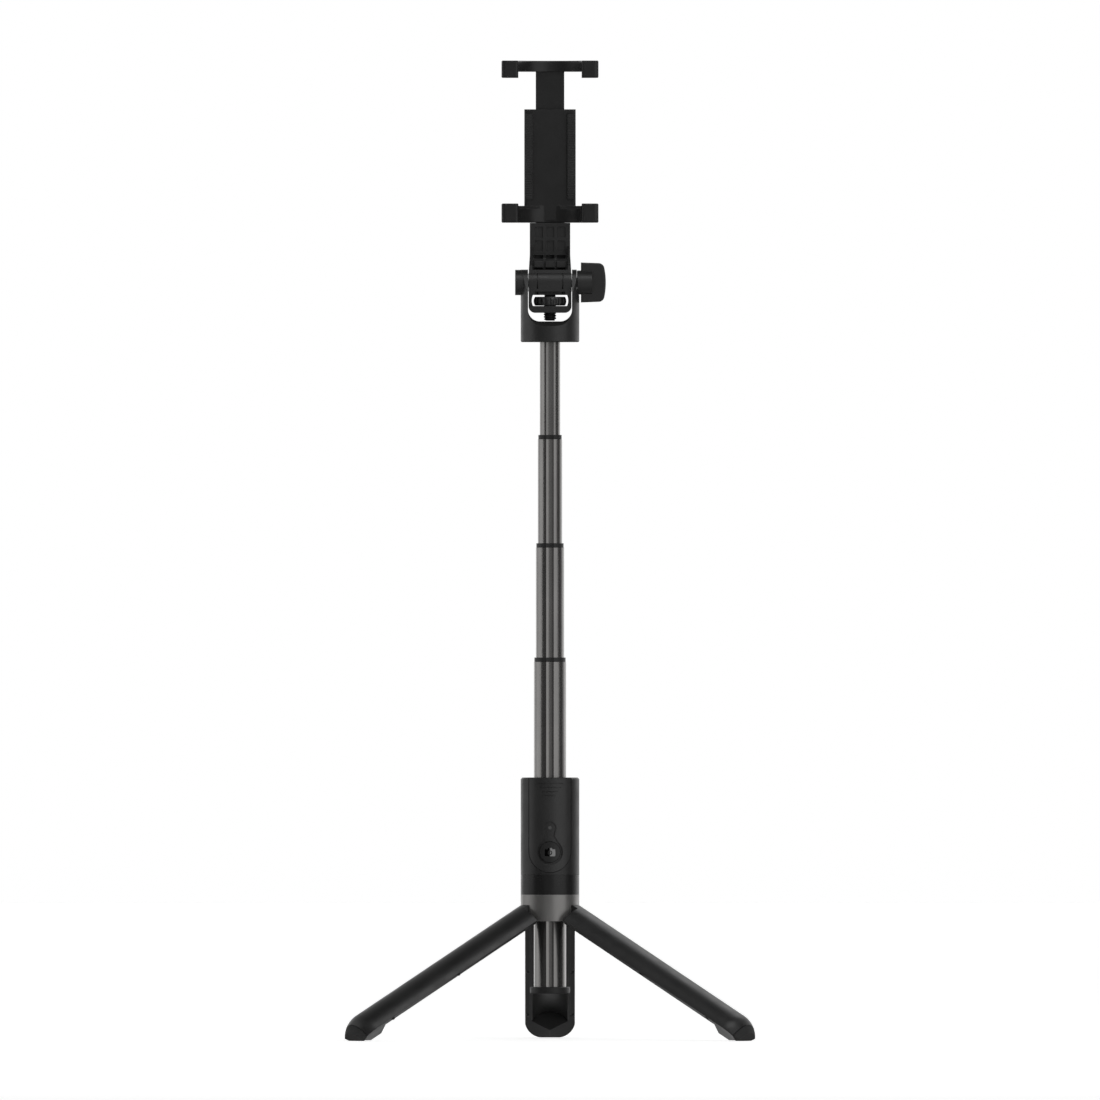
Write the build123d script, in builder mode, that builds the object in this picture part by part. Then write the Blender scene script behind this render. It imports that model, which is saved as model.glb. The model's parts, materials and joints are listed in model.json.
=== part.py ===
from build123d import *
from math import cos, hypot, radians, sin, sqrt, tan
import os

# Tripod selfie stick, standing on its three spread legs. The mast axis is Z, the floor is
# z = 0, the phone faces -Y and the tilt knob is on +X. Every size is in millimetres.

# ---- Driving dimensions ------------------------------------------------------------------

STICK_R = 14.8  # common outside radius of hub, handle, cup and closed legs
SKIN = 0.05  # running clearance of a moving fit, per side
SEAT = 0.1  # gap left where one piece comes to rest on another

# Heights of the mast, from the floor
HUB_BOTTOM, HUB_SLOT_TOP, HUB_TOP = 59.9, 68.0, 73.3
BAND_TOP, HANDLE_TOP = 83.4, 132.4
COLLAR_TOPS = [193.0, 250.7, 305.4]
CUP_BOTTOM, CUP_SLOT_BOTTOM = 352.3, 362.7
TILT_Z = 382.4
JAW_LOW_BOTTOM, JAW_LOW_TOP = 412.7, 422.3
PHONE_LOW, PHONE_HIGH = 419.8, 486.9
JAW_HIGH_BOTTOM, JAW_HIGH_TOP = 485.9, 494.5

# Telescoping tubes, from the thickest (1) to the thinnest (4)
TUBE_RADII = [8.15, 7.15, 6.15, 5.15]
TUBE_WALL = 0.5
FLUTES, FLUTE_WIDTH, FLUTE_DEPTH = 3, 3.8, 0.6
COLLAR_HEIGHT, COLLAR_STEP, COLLAR_SKIRT, COLLAR_GAP = 2.2, 0.25, 8.0, 0.08
SLIDER_LENGTH = 12.0
TUBE_1_BOTTOM = 24.3
NEST_STEP = 2.0  # how far each tube's foot stays above the foot of the tube around it
PLUG_R, PLUG_TOP, PLUG_BOTTOM = 10.1, 26.7, 23.3
CUP_SOCKET = 8.2  # how deep the thinnest tube goes into the head cup

# Legs: each is a third of a ring, hinged at the hub and spread by 60 degrees
LEG_AZIMUTHS = [90, 210, 330]
LEG_SPREAD = 60
LEG_OUTER_R, LEG_INNER_R = 14.65, 10.5
LEG_PIN_R, LEG_PIN_Z, LEG_HINGE_R = 1.0, 66.2, 10.3
LEG_SHOULDER, LEG_CHANNEL_END, LEG_PAD_START, LEG_TIP = 6.7, 107.3, 120.2, 125.2
LEG_GAP = 0.15  # half of the gap between two closed legs
TONGUE_WIDTH, SLOT_WIDTH = 6.5, 6.9
TONGUE_EYE_R, TONGUE_BACK = 1.72, 0.4
TONGUE_ROOT, TONGUE_STEP, TONGUE_SLOPE = 2.0, 0.2, 2.3
LINER_R = 11.9
NUB_DEPTHS, NUB_RING_R, NUB_R, NUB_PLAY = [59.0, 103.0], 12.9, 0.9, 0.4

# Handle and remote
CORE_R, CORE_WALL = 9.25, 0.5
REMOTE_HALF, REMOTE_BACK_Y, REMOTE_BOTTOM = 10.75, 9.4, 84.4
REMOTE_GAP = 0.22
BUTTON_Z, BUTTON_R, BUTTON_RING_R = 94.8, 5.2, 6.1
LED_Z, LED_RING_R = 107.1, 2.8

# Head
CUP_SLOT_HALF, CUP_SLOT_CORNER = 11.1, 6.0
EAR_R, BOSS_R, BOSS_X, SPOT_X = 6.5, 6.4, 17.6, 13.5
BOLT_R = 2.5
YOKE_HALF, BARREL_HALF, BARREL_R = 10.8, 6.1, 6.45
BAIL_BOTTOM, BAIL_TOP, BAIL_DEPTH_HALF = 367.1, 370.5, 7.0
WINDOW_TOP, WINDOW_HALF, WINDOW_BULGE = 376.1, 8.6, 9.2
WHEEL_BOTTOM, WHEEL_TOP, WHEEL_R = 370.75, 375.15, 8.3
SCREW_R, SCREW_BOTTOM = 3.175, 363.1
NECK_HALF, NECK_FRONT_Y, NECK_BACK_Y = 10.2, 15.2, 19.8

# Phone clamp
JAW_HALF, JAW_FRONT_Y, JAW_BACK_Y, JAW_RECESS_R = 24.5, 1.5, 21.4, 16.2
LIP_BACK_Y = 3.7
SLEEVE_HALF, SLEEVE_FRONT_Y, SLEEVE_TOP = 13.0, 15.9, 470.0
CHANNEL_FRONT_Y, COVER_Y = 17.2, 20.0
TONGUE_HALF, TONGUE_BOTTOM = 7.2, 434.0

os.makedirs("parts", exist_ok=True)


def save(piece, name):
    """Label a finished piece and write it as a STEP file of the same name."""
    piece.part.label = name
    export_step(piece.part, f"parts/{name}.step")


def polar(radius, azimuth, height=0.0):
    return (radius * cos(radians(azimuth)), radius * sin(radians(azimuth)), height)


def disc(height, radius, length, hole=0.0):
    """In the active part: an upright disc or ring standing on the given height."""
    with BuildSketch(Plane.XY.offset(height)) as profile:
        Circle(radius)
        if hole:
            Circle(hole, mode=Mode.SUBTRACT)
    extrude(profile.sketch, amount=length)


# ---- Mast --------------------------------------------------------------------------------


def tube_outline(tube_radius, inset=0.0):
    """Outline of a fluted tube, moved inwards by inset: a circle less three shallow hollows."""
    rim = sqrt(tube_radius**2 - (FLUTE_WIDTH / 2) ** 2)
    rise = tube_radius - FLUTE_DEPTH - rim
    flute = ((FLUTE_WIDTH / 2) ** 2 + rise**2) / (-2 * rise)
    reach = tube_radius - FLUTE_DEPTH + flute
    with BuildSketch(mode=Mode.PRIVATE) as outline:
        Circle(tube_radius - inset)
        with PolarLocations(reach, FLUTES, start_angle=-90):
            Circle(flute + inset, mode=Mode.SUBTRACT)
    return outline.sketch


def fluted_ring(height, length, outer, inner):
    """In the active part: a ring between two outlines, each a finished tube outline."""
    with BuildSketch(Plane.XY.offset(height)) as profile:
        add(outer)
        add(inner, mode=Mode.SUBTRACT)
    extrude(profile.sketch, amount=length)


def fluted_bore(height, length, outline):
    """In the active part: a hole of a tube's outline, upwards from the given height."""
    with BuildSketch(Plane.XY.offset(height)) as profile:
        add(outline)
    extrude(profile.sketch, amount=length, mode=Mode.SUBTRACT)


def mast_tube(radius, bottom, top, stops):
    """A drawn tube with punched stop dimples on both sides at the given heights."""
    dimple_r, dimple_depth = 1.3, 0.3
    with BuildPart() as tube:
        fluted_ring(bottom, top - bottom, tube_outline(radius), tube_outline(radius, TUBE_WALL))
        for stop in stops:
            side = radius + dimple_r - dimple_depth
            with Locations((side, 0, stop), (-side, 0, stop)):
                Sphere(dimple_r, mode=Mode.SUBTRACT)
    return tube


def mast_collar(outer_radius, inner_radius, top):
    """Plastic ring pressed into a tube's mouth, in which the next tube slides."""
    bore = tube_outline(inner_radius, -COLLAR_GAP)
    with BuildPart() as collar:
        flange = tube_outline(outer_radius, COLLAR_STEP)
        fluted_ring(top - COLLAR_HEIGHT, COLLAR_HEIGHT, flange, bore)
        skirt = tube_outline(outer_radius, TUBE_WALL)
        fluted_ring(top - COLLAR_HEIGHT - COLLAR_SKIRT, COLLAR_SKIRT, skirt, bore)
    return collar


def mast_slider(outer_radius, inner_radius, bottom):
    """Bush fixed on a tube's foot, which slides in the bore of the tube around it."""
    with BuildPart() as slider:
        outside = tube_outline(outer_radius, TUBE_WALL + SKIN)
        fluted_ring(bottom, SLIDER_LENGTH, outside, tube_outline(inner_radius))
    return slider


tube_tops = [top - COLLAR_HEIGHT for top in COLLAR_TOPS] + [CUP_BOTTOM + CUP_SOCKET]
travels = [COLLAR_TOPS[0] - HANDLE_TOP - SEAT]
travels += [COLLAR_TOPS[i] - COLLAR_TOPS[i - 1] - SEAT for i in (1, 2)]
travels += [CUP_BOTTOM - COLLAR_TOPS[2] - SEAT]
tube_bottoms = [TUBE_1_BOTTOM]
for level, travel in enumerate(travels[1:], start=1):
    tube_bottoms.append(TUBE_1_BOTTOM + (level + 1) * NEST_STEP + sum(travels[1 : level + 1]))

stop_rows = [[4.5, 12.5], [4.5], [4.5], []]
for index, radius in enumerate(TUBE_RADII):
    top = tube_tops[index]
    stops = [top - drop for drop in stop_rows[index]]
    save(mast_tube(radius, tube_bottoms[index], top, stops), f"mast_tube_{index + 1}")
for index in range(3):
    outer_radius, inner_radius = TUBE_RADII[index], TUBE_RADII[index + 1]
    collar = mast_collar(outer_radius, inner_radius, COLLAR_TOPS[index])
    save(collar, f"mast_collar_{index + 1}")
    slider = mast_slider(outer_radius, inner_radius, tube_bottoms[index + 1])
    save(slider, f"mast_slider_{index + 2}")

with BuildPart() as mast_plug:
    disc(PLUG_BOTTOM, PLUG_R, TUBE_1_BOTTOM - PLUG_BOTTOM)
    disc(TUBE_1_BOTTOM, PLUG_R, PLUG_TOP - TUBE_1_BOTTOM)
    fluted_bore(TUBE_1_BOTTOM, PLUG_TOP - TUBE_1_BOTTOM, tube_outline(TUBE_RADII[0]))
    with BuildSketch(Plane.XY.offset(TUBE_1_BOTTOM)):
        add(tube_outline(TUBE_RADII[0], TUBE_WALL))
    extrude(amount=NEST_STEP)
    rims = mast_plug.edges().filter_by(GeomType.CIRCLE).filter_by(lambda e: e.radius == PLUG_R)
    chamfer(rims, 0.4)
save(mast_plug, "mast_plug")


# ---- Tripod hub --------------------------------------------------------------------------


def closed_frame(azimuth):
    """Plane of a leg at its hinge pin: X outwards, Y along the pin, Z up."""
    outwards = polar(1, azimuth)
    return Plane(origin=polar(LEG_HINGE_R, azimuth, LEG_PIN_Z), x_dir=outwards, z_dir=(0, 0, 1))


def spread_frame(azimuth):
    """The same plane after the leg has swung out by its full spread."""
    return Plane(closed_frame(azimuth).location * Rotation(0, -LEG_SPREAD, 0))


def side_plane(frame):
    """Plane through a leg's middle, seen from the side: X outwards, Y up the leg."""
    return Plane(origin=frame.origin, x_dir=frame.x_dir, z_dir=-frame.y_dir)


HUB_BORE_R, HUB_SPIGOT_R, HUB_SPIGOT_HEIGHT = 8.45, 12.2, 5.0
HUB_RELIEF_R, HUB_RELIEF_HALF, HUB_SLOT_IN = 6.45, 9.1, 5.0
SHANK_PLAY, HEAD_PLAY = 0.15, 0.2
SCREW_AZIMUTHS, SCREW_RING_R = [30, 150], 11.9
HANDLE_SCREW_R, HANDLE_SCREW_TOP, HEAD_R, HEAD_HEIGHT, HEAD_SINK = 0.95, 94.0, 1.9, 1.5, 2.2
PIN_SHORT, PIN_LONG = 7.2, 10.0
PIN_SIDES = {90: 1, 210: -1, 330: 1}  # which way each leg pin was driven in

with BuildPart() as tripod_hub:
    disc(HUB_BOTTOM, STICK_R, HUB_TOP - HUB_BOTTOM)
    disc(HUB_TOP, HUB_SPIGOT_R, HUB_SPIGOT_HEIGHT)
    with BuildSketch(Plane.XY.offset(HUB_BOTTOM)):
        Circle(HUB_BORE_R)
    extrude(amount=HUB_TOP + HUB_SPIGOT_HEIGHT - HUB_BOTTOM, mode=Mode.SUBTRACT)
    for azimuth in LEG_AZIMUTHS:
        frame = closed_frame(azimuth)
        slot_height = HUB_SLOT_TOP - HUB_BOTTOM
        with BuildSketch(frame.offset(HUB_BOTTOM - LEG_PIN_Z)):
            with Locations((STICK_R - LEG_HINGE_R - HUB_SLOT_IN, 0)):
                Rectangle(STICK_R, SLOT_WIDTH)
        extrude(amount=slot_height, mode=Mode.SUBTRACT)
        with BuildSketch(side_plane(frame)):
            with Locations((0, -STICK_R / 2)):
                Rectangle(STICK_R, STICK_R, align=(Align.MIN, Align.CENTER))
            Circle(HUB_RELIEF_R, mode=Mode.SUBTRACT)
        extrude(amount=HUB_RELIEF_HALF, both=True, mode=Mode.SUBTRACT)
        side = PIN_SIDES[azimuth]
        with BuildSketch(side_plane(frame).offset(side * PIN_SHORT)):
            Circle(LEG_PIN_R)
        extrude(amount=-side * (PIN_SHORT + STICK_R), mode=Mode.SUBTRACT)
    for azimuth in SCREW_AZIMUTHS:
        with BuildSketch(Plane.XY.offset(HUB_BOTTOM)):
            with Locations(polar(SCREW_RING_R, azimuth)[:2]):
                Circle(HEAD_R + HEAD_PLAY)
        extrude(amount=HEAD_SINK, mode=Mode.SUBTRACT)
        with BuildSketch(Plane.XY.offset(HUB_BOTTOM)):
            with Locations(polar(SCREW_RING_R, azimuth)[:2]):
                Circle(HANDLE_SCREW_R + SHANK_PLAY)
        extrude(amount=HUB_TOP + HUB_SPIGOT_HEIGHT - HUB_BOTTOM, mode=Mode.SUBTRACT)
save(tripod_hub, "tripod_hub")

for number, azimuth in enumerate(LEG_AZIMUTHS, start=1):
    side = PIN_SIDES[azimuth]
    with BuildPart() as leg_pin:
        with BuildSketch(side_plane(closed_frame(azimuth)).offset(side * PIN_SHORT)):
            Circle(LEG_PIN_R)
        extrude(amount=-side * (PIN_SHORT + PIN_LONG))
        chamfer(leg_pin.edges().filter_by(GeomType.CIRCLE), 0.2)
    save(leg_pin, f"leg_{number}_pin")


# ---- Legs --------------------------------------------------------------------------------


def sector(outer_radius, inner_radius):
    """In the active sketch: a third of a ring round the mast axis, less half a gap per side."""
    apex = -LEG_HINGE_R + LEG_GAP / sin(radians(60))
    reach = 3 * outer_radius
    with BuildSketch(mode=Mode.PRIVATE) as ring:
        with Locations((-LEG_HINGE_R, 0)):
            Circle(outer_radius)
            if inner_radius:
                Circle(inner_radius, mode=Mode.SUBTRACT)
        with BuildLine():
            spread = (reach - apex) * sqrt(3)
            Polyline((apex, 0), (reach, spread), (reach, -spread), close=True)
        make_face(mode=Mode.INTERSECT)
    return ring.sketch


def leg_length(section, start, end):
    """In the active part: a leg section from one distance below the hinge to another."""
    with BuildSketch(Plane.XY.offset(-start)) as profile:
        add(section)
    extrude(profile.sketch, amount=-(end - start))


def tongue_profile():
    """Side view of the hinge tongue: an eye, a stop face at the spread angle, a straight back."""
    outer = LEG_OUTER_R - LEG_HINGE_R
    tilt = radians(90 - LEG_SPREAD)
    touch = (TONGUE_EYE_R * cos(tilt), TONGUE_EYE_R * sin(tilt))
    stop_end = -(TONGUE_EYE_R - outer * cos(tilt)) / sin(tilt)
    with BuildSketch(mode=Mode.PRIVATE) as profile:
        with BuildLine():
            RadiusArc((-TONGUE_EYE_R, 0), touch, TONGUE_EYE_R)
            Polyline(
                touch,
                (outer, -stop_end),
                (outer, -LEG_SHOULDER - TONGUE_ROOT),
                (TONGUE_BACK, -LEG_SHOULDER - TONGUE_ROOT),
                (TONGUE_BACK, -LEG_SHOULDER + TONGUE_STEP),
                (-TONGUE_EYE_R, -LEG_SHOULDER + TONGUE_SLOPE),
                (-TONGUE_EYE_R, 0),
            )
        make_face()
    return profile.sketch


def dome_profile():
    """Side view of everything inside the rounded tip of the leg."""
    outer = LEG_OUTER_R - LEG_HINGE_R
    with BuildSketch(mode=Mode.PRIVATE) as profile:
        with BuildLine():
            dome = JernArc((outer, -DOME_START), (0, -1), DOME_R, -LEG_SPREAD)
            Polyline(dome @ 1, (-LEG_HINGE_R, (dome @ 1).Y), (-LEG_HINGE_R, 5), (outer, 5), dome @ 0)
        make_face()
    return profile.sketch


def round_tip(floor):
    """In the active part: round the leg's tip and cut it level with the floor."""
    corner_side, corner_height, corner_flat = 12.75, 7.5, 5.0
    bulge, bulge_height = 10.3, 2.6
    with BuildSketch(Plane.XZ) as dome:
        add(dome_profile())
    axis_line = Axis((-LEG_HINGE_R, 0, 0), (0, 0, 1))
    revolve(dome.sketch, axis=axis_line, revolution_arc=360, mode=Mode.INTERSECT)
    with BuildSketch(floor_plane.offset(floor)) as ground:
        Rectangle(400, 400)
    extrude(ground.sketch, amount=-60, mode=Mode.SUBTRACT)
    with BuildSketch(nose_plane) as nose:
        Rectangle(80, 80)
    extrude(nose.sketch, amount=20, mode=Mode.SUBTRACT)
    with BuildSketch(front_plane) as corners:
        with Locations((0, corner_height)):
            Rectangle(40, 20, align=(Align.CENTER, Align.MAX))
        with BuildLine():
            left = ThreePointArc((-corner_side, corner_height), (-bulge, bulge_height), (-corner_flat, 0))
            right = ThreePointArc((corner_flat, 0), (bulge, bulge_height), (corner_side, corner_height))
            Line(left @ 1, right @ 0)
            Line(right @ 1, left @ 0)
        make_face(mode=Mode.SUBTRACT)
    extrude(corners.sketch, amount=160, mode=Mode.SUBTRACT)


def face_point(depth, side):
    """A point on a leg's mating face, on the nubs' ring, one side or the other."""
    apex = LEG_GAP / sin(radians(60)) - LEG_HINGE_R
    across, along = cos(radians(60)), sin(radians(60))
    return (apex + NUB_RING_R * across, side * NUB_RING_R * along, -depth)


def radial_plane(depth, radius):
    """Plane across a leg at a distance below the hinge, facing outwards at a radius."""
    return Plane(origin=(radius - LEG_HINGE_R, 0, -depth), x_dir=(0, 1, 0), z_dir=(1, 0, 0))


DOME_START, DOME_R = 113.6, 12.0
NOSE_R, NOSE_RUN, NOSE_RISE = 113.8, 2.2, 2.8
LINER_START, LINER_RIM = 14.2, 0.6
LINER_PEG_DEPTHS, LINER_PEG_R = [30, 60, 90], 1.2
LINER_PEG_ROOT, LINER_PEG_LENGTH, LINER_PEG_PLAY = 0.5, 1.7, 0.2
PAD_PEG_R, PAD_PEG_RADIUS, PAD_PEG_START, PAD_SEAM = 8.0, 2.5, 112.0, 0.25
SHELL_FLOOR = 0.3  # the rubber pads stand this much lower than the shells

# Each leg piece is drawn once about its own hinge, with the leg hanging straight down, and
# then stood on the plane of each spread leg. In that drawing the floor is a tilted plane.
world_up = Vector(sin(radians(LEG_SPREAD)), 0, cos(radians(LEG_SPREAD)))
world_outwards = Vector(cos(radians(LEG_SPREAD)), 0, -sin(radians(LEG_SPREAD)))
floor_plane = Plane(origin=world_up * -LEG_PIN_Z, x_dir=(0, 1, 0), z_dir=world_up)
front_plane = Plane(origin=world_up * -LEG_PIN_Z, x_dir=(0, 1, 0), z_dir=world_outwards)
nose_foot = world_up * -LEG_PIN_Z + world_outwards * (NOSE_R - LEG_HINGE_R)
nose_normal = world_outwards * NOSE_RISE - world_up * NOSE_RUN
nose_plane = Plane(origin=nose_foot, x_dir=(0, 1, 0), z_dir=nose_normal)
peg_plane = Plane.XY.offset(-PAD_PEG_START)
peg_place = (PAD_PEG_R - LEG_HINGE_R, 0)

with BuildPart() as leg_shell:
    leg_length(sector(LEG_OUTER_R, LINER_R + SKIN), LEG_SHOULDER, LEG_CHANNEL_END)
    leg_length(sector(LEG_OUTER_R, LEG_INNER_R), LEG_SHOULDER, LINER_START - SEAT)
    leg_length(sector(LEG_OUTER_R, 0), LEG_CHANNEL_END, LEG_PAD_START)
    with BuildSketch(Plane.XZ) as tongue:
        add(tongue_profile())
    extrude(tongue.sketch, amount=TONGUE_WIDTH / 2, both=True)
    with BuildSketch(Plane.XZ) as eye:
        Circle(LEG_PIN_R + SKIN)
    extrude(eye.sketch, amount=TONGUE_WIDTH, both=True, mode=Mode.SUBTRACT)
    with BuildSketch(Plane.XY.offset(5)) as trim:
        with Locations((-LEG_HINGE_R, 0)):
            Circle(2 * STICK_R)
            Circle(LEG_OUTER_R, mode=Mode.SUBTRACT)
    extrude(trim.sketch, amount=-20, mode=Mode.SUBTRACT)
    for depth in LINER_PEG_DEPTHS:
        with BuildSketch(radial_plane(depth, LINER_R - LINER_PEG_ROOT)) as peg_hole:
            Circle(LINER_PEG_R + SKIN)
        extrude(peg_hole.sketch, amount=LINER_PEG_LENGTH + LINER_PEG_PLAY, mode=Mode.SUBTRACT)
    with BuildSketch(peg_plane) as pad_hole:
        with Locations(peg_place):
            Circle(PAD_PEG_RADIUS)
    extrude(pad_hole.sketch, amount=-10, mode=Mode.SUBTRACT)
    round_tip(SHELL_FLOOR)
    for depth in NUB_DEPTHS:
        with Locations(face_point(depth, 1)):
            Sphere(NUB_R)
        with Locations(face_point(depth, -1)):
            Sphere(NUB_R + NUB_PLAY, mode=Mode.SUBTRACT)

with BuildPart() as leg_liner:
    leg_length(sector(LINER_R, LEG_INNER_R), LINER_START, LEG_CHANNEL_END - SEAT)
    lower_end = leg_liner.faces().sort_by(Axis.Z)[0]
    inner_rim = lower_end.edges().filter_by(GeomType.CIRCLE).sort_by(SortBy.RADIUS)[0]
    chamfer(inner_rim, LINER_RIM)
    for depth in LINER_PEG_DEPTHS:
        with BuildSketch(radial_plane(depth, LINER_R - LINER_PEG_ROOT)) as peg:
            Circle(LINER_PEG_R)
        extrude(peg.sketch, amount=LINER_PEG_LENGTH)

with BuildPart() as foot_pad:
    leg_length(sector(LEG_OUTER_R, 0), LEG_PAD_START + PAD_SEAM, LEG_TIP + 2)
    with BuildSketch(peg_plane) as pad_peg:
        with Locations(peg_place):
            Circle(PAD_PEG_RADIUS)
    extrude(pad_peg.sketch, amount=-(LEG_PAD_START + 1 - PAD_PEG_START))
    round_tip(0)

leg_pieces = {"shell": leg_shell, "liner": leg_liner, "foot_pad": foot_pad}
for number, azimuth in enumerate(LEG_AZIMUTHS, start=1):
    for piece_name, piece in leg_pieces.items():
        with BuildPart(spread_frame(azimuth)) as leg_piece:
            add(piece.part)
        save(leg_piece, f"leg_{number}_{piece_name}")


# ---- Handle ------------------------------------------------------------------------------

CORE_BOTTOM, CORE_TOP, BUSH_LENGTH = 78.5, 131.4, 9.0
HOLLOW_INNER_R, HOLLOW_OUTER_R, HOLLOW_TOP = 10.6, 12.8, 129.0
HOLLOW_FRONT_Y, SCREW_POST_R = 3.0, 2.2
HANDLE_CHAMFER = 0.8
RAIL_IN, RAIL_OUT, RAIL_FOOT, RAIL_DEPTH, RAIL_LIP = 5.7, 6.9, 8.1, 1.5, 0.7
RAIL_TOP, RAIL_BOTTOM, RAIL_END_PLAY, RAIL_ROOT = 126.0, 98.0, 0.5, 0.3


def pocket_outline(half_width, bottom, top):
    """Front view of the remote or its pocket: straight sides and a round lower end."""
    with BuildSketch(mode=Mode.PRIVATE) as outline:
        with Locations((0, bottom + half_width)):
            Circle(half_width)
            Rectangle(2 * half_width, top - bottom - half_width, align=(Align.CENTER, Align.MIN))
    return outline.sketch


def front_block(outline, near, far):
    """In the active part: a front-view outline drawn out between two depths in front."""
    with BuildSketch(Plane.XZ.offset(near)) as profile:
        add(outline)
    extrude(profile.sketch, amount=far - near)


def rail_section(grow):
    """Plan of the two hooked rails behind the remote, made thicker all round by grow."""
    root = -REMOTE_BACK_Y - RAIL_ROOT
    foot = -REMOTE_BACK_Y + RAIL_DEPTH
    lip = foot - RAIL_LIP
    with BuildSketch(mode=Mode.PRIVATE) as rails:
        for side in (-1, 1):
            with BuildLine():
                Polyline(
                    (side * (RAIL_IN - grow), root),
                    (side * (RAIL_OUT + grow), root),
                    (side * (RAIL_OUT + grow), lip - grow),
                    (side * (RAIL_FOOT + grow), lip - grow),
                    (side * (RAIL_FOOT + grow), foot + grow),
                    (side * (RAIL_IN - grow), foot + grow),
                    close=True,
                )
            make_face()
    return rails.sketch


with BuildPart() as handle_core:
    disc(CORE_BOTTOM, CORE_R, CORE_TOP - CORE_BOTTOM, CORE_R - CORE_WALL)
save(handle_core, "handle_core")

for place, height in (("lower", CORE_BOTTOM), ("upper", CORE_TOP - BUSH_LENGTH)):
    with BuildPart() as handle_bush:
        disc(height, CORE_R - CORE_WALL, BUSH_LENGTH)
        fluted_bore(height, BUSH_LENGTH, tube_outline(TUBE_RADII[0], -SKIN))
    save(handle_bush, f"handle_bush_{place}")

with BuildPart() as handle_band:
    disc(HUB_TOP, STICK_R, BAND_TOP - HUB_TOP, CORE_R)
    with BuildSketch(Plane.XY.offset(HUB_TOP)):
        Circle(HUB_SPIGOT_R)
    extrude(amount=HUB_SPIGOT_HEIGHT, mode=Mode.SUBTRACT)
    with BuildSketch(Plane.XY.offset(HUB_TOP)):
        with Locations([polar(SCREW_RING_R, azimuth)[:2] for azimuth in SCREW_AZIMUTHS]):
            Circle(HANDLE_SCREW_R + SHANK_PLAY)
    extrude(amount=BAND_TOP - HUB_TOP, mode=Mode.SUBTRACT)
save(handle_band, "handle_band")

with BuildPart() as handle_sleeve:
    disc(BAND_TOP, STICK_R, HANDLE_TOP - BAND_TOP)
    top_edge = handle_sleeve.edges().filter_by(GeomType.CIRCLE).group_by(Axis.Z)[-1]
    chamfer(top_edge, HANDLE_CHAMFER)
    with BuildSketch(Plane.XY.offset(BAND_TOP)):
        Circle(CORE_R)
    extrude(amount=CORE_TOP - BAND_TOP, mode=Mode.SUBTRACT)
    with BuildSketch(Plane.XY.offset(CORE_TOP)):
        Circle(CORE_R - CORE_WALL)
    extrude(amount=HANDLE_TOP - CORE_TOP, mode=Mode.SUBTRACT)
    with BuildSketch(Plane.XZ.offset(REMOTE_BACK_Y)) as pocket:
        add(pocket_outline(REMOTE_HALF, REMOTE_BOTTOM, HANDLE_TOP + 5))
    extrude(pocket.sketch, amount=10, mode=Mode.SUBTRACT)
    with BuildSketch(Plane.XY.offset(RAIL_BOTTOM - RAIL_END_PLAY)) as rail_grooves:
        add(rail_section(REMOTE_GAP))
    extrude(rail_grooves.sketch, amount=40, mode=Mode.SUBTRACT)
    with BuildSketch(Plane.XY.offset(BAND_TOP)) as hollow:
        Circle(HOLLOW_OUTER_R)
        Circle(HOLLOW_INNER_R, mode=Mode.SUBTRACT)
        with Locations((0, -HOLLOW_FRONT_Y)):
            Rectangle(2 * STICK_R, STICK_R, align=(Align.CENTER, Align.MAX), mode=Mode.SUBTRACT)
        with Locations([polar(SCREW_RING_R, azimuth)[:2] for azimuth in SCREW_AZIMUTHS]):
            Circle(SCREW_POST_R, mode=Mode.SUBTRACT)
    extrude(hollow.sketch, amount=HOLLOW_TOP - BAND_TOP, mode=Mode.SUBTRACT)
    with BuildSketch(Plane.XY.offset(BAND_TOP)) as pilots:
        with Locations([polar(SCREW_RING_R, azimuth)[:2] for azimuth in SCREW_AZIMUTHS]):
            Circle(HANDLE_SCREW_R)
    extrude(pilots.sketch, amount=HANDLE_SCREW_TOP + 1 - BAND_TOP, mode=Mode.SUBTRACT)
save(handle_sleeve, "handle_sleeve")


def machine_screw(plane, shank_r, length, head_r, head_height):
    """In the active part: a screw whose head's outer face lies on the plane, pointing up it."""
    with BuildSketch(plane) as head:
        Circle(head_r)
    extrude(head.sketch, amount=head_height)
    with BuildSketch(plane.offset(head_height)) as shank:
        Circle(shank_r)
    extrude(shank.sketch, amount=length)
    cross_length, cross_width, cross_depth = 1.2 * head_r, 0.28 * head_r, 0.55 * head_height
    with BuildSketch(plane) as recess:
        Rectangle(cross_length, cross_width)
        Rectangle(cross_width, cross_length)
    extrude(recess.sketch, amount=cross_depth, mode=Mode.SUBTRACT)


with BuildPart() as handle_screws:
    for azimuth in SCREW_AZIMUTHS:
        seat = Plane.XY.offset(HUB_BOTTOM + HEAD_SINK - HEAD_HEIGHT)
        seat.origin = seat.origin + Vector(*polar(SCREW_RING_R, azimuth))
        shank = HANDLE_SCREW_TOP - HUB_BOTTOM - HEAD_SINK
        machine_screw(seat, HANDLE_SCREW_R, shank, HEAD_R, HEAD_HEIGHT)
save(handle_screws, "handle_screws")


# ---- Remote control ----------------------------------------------------------------------

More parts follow.
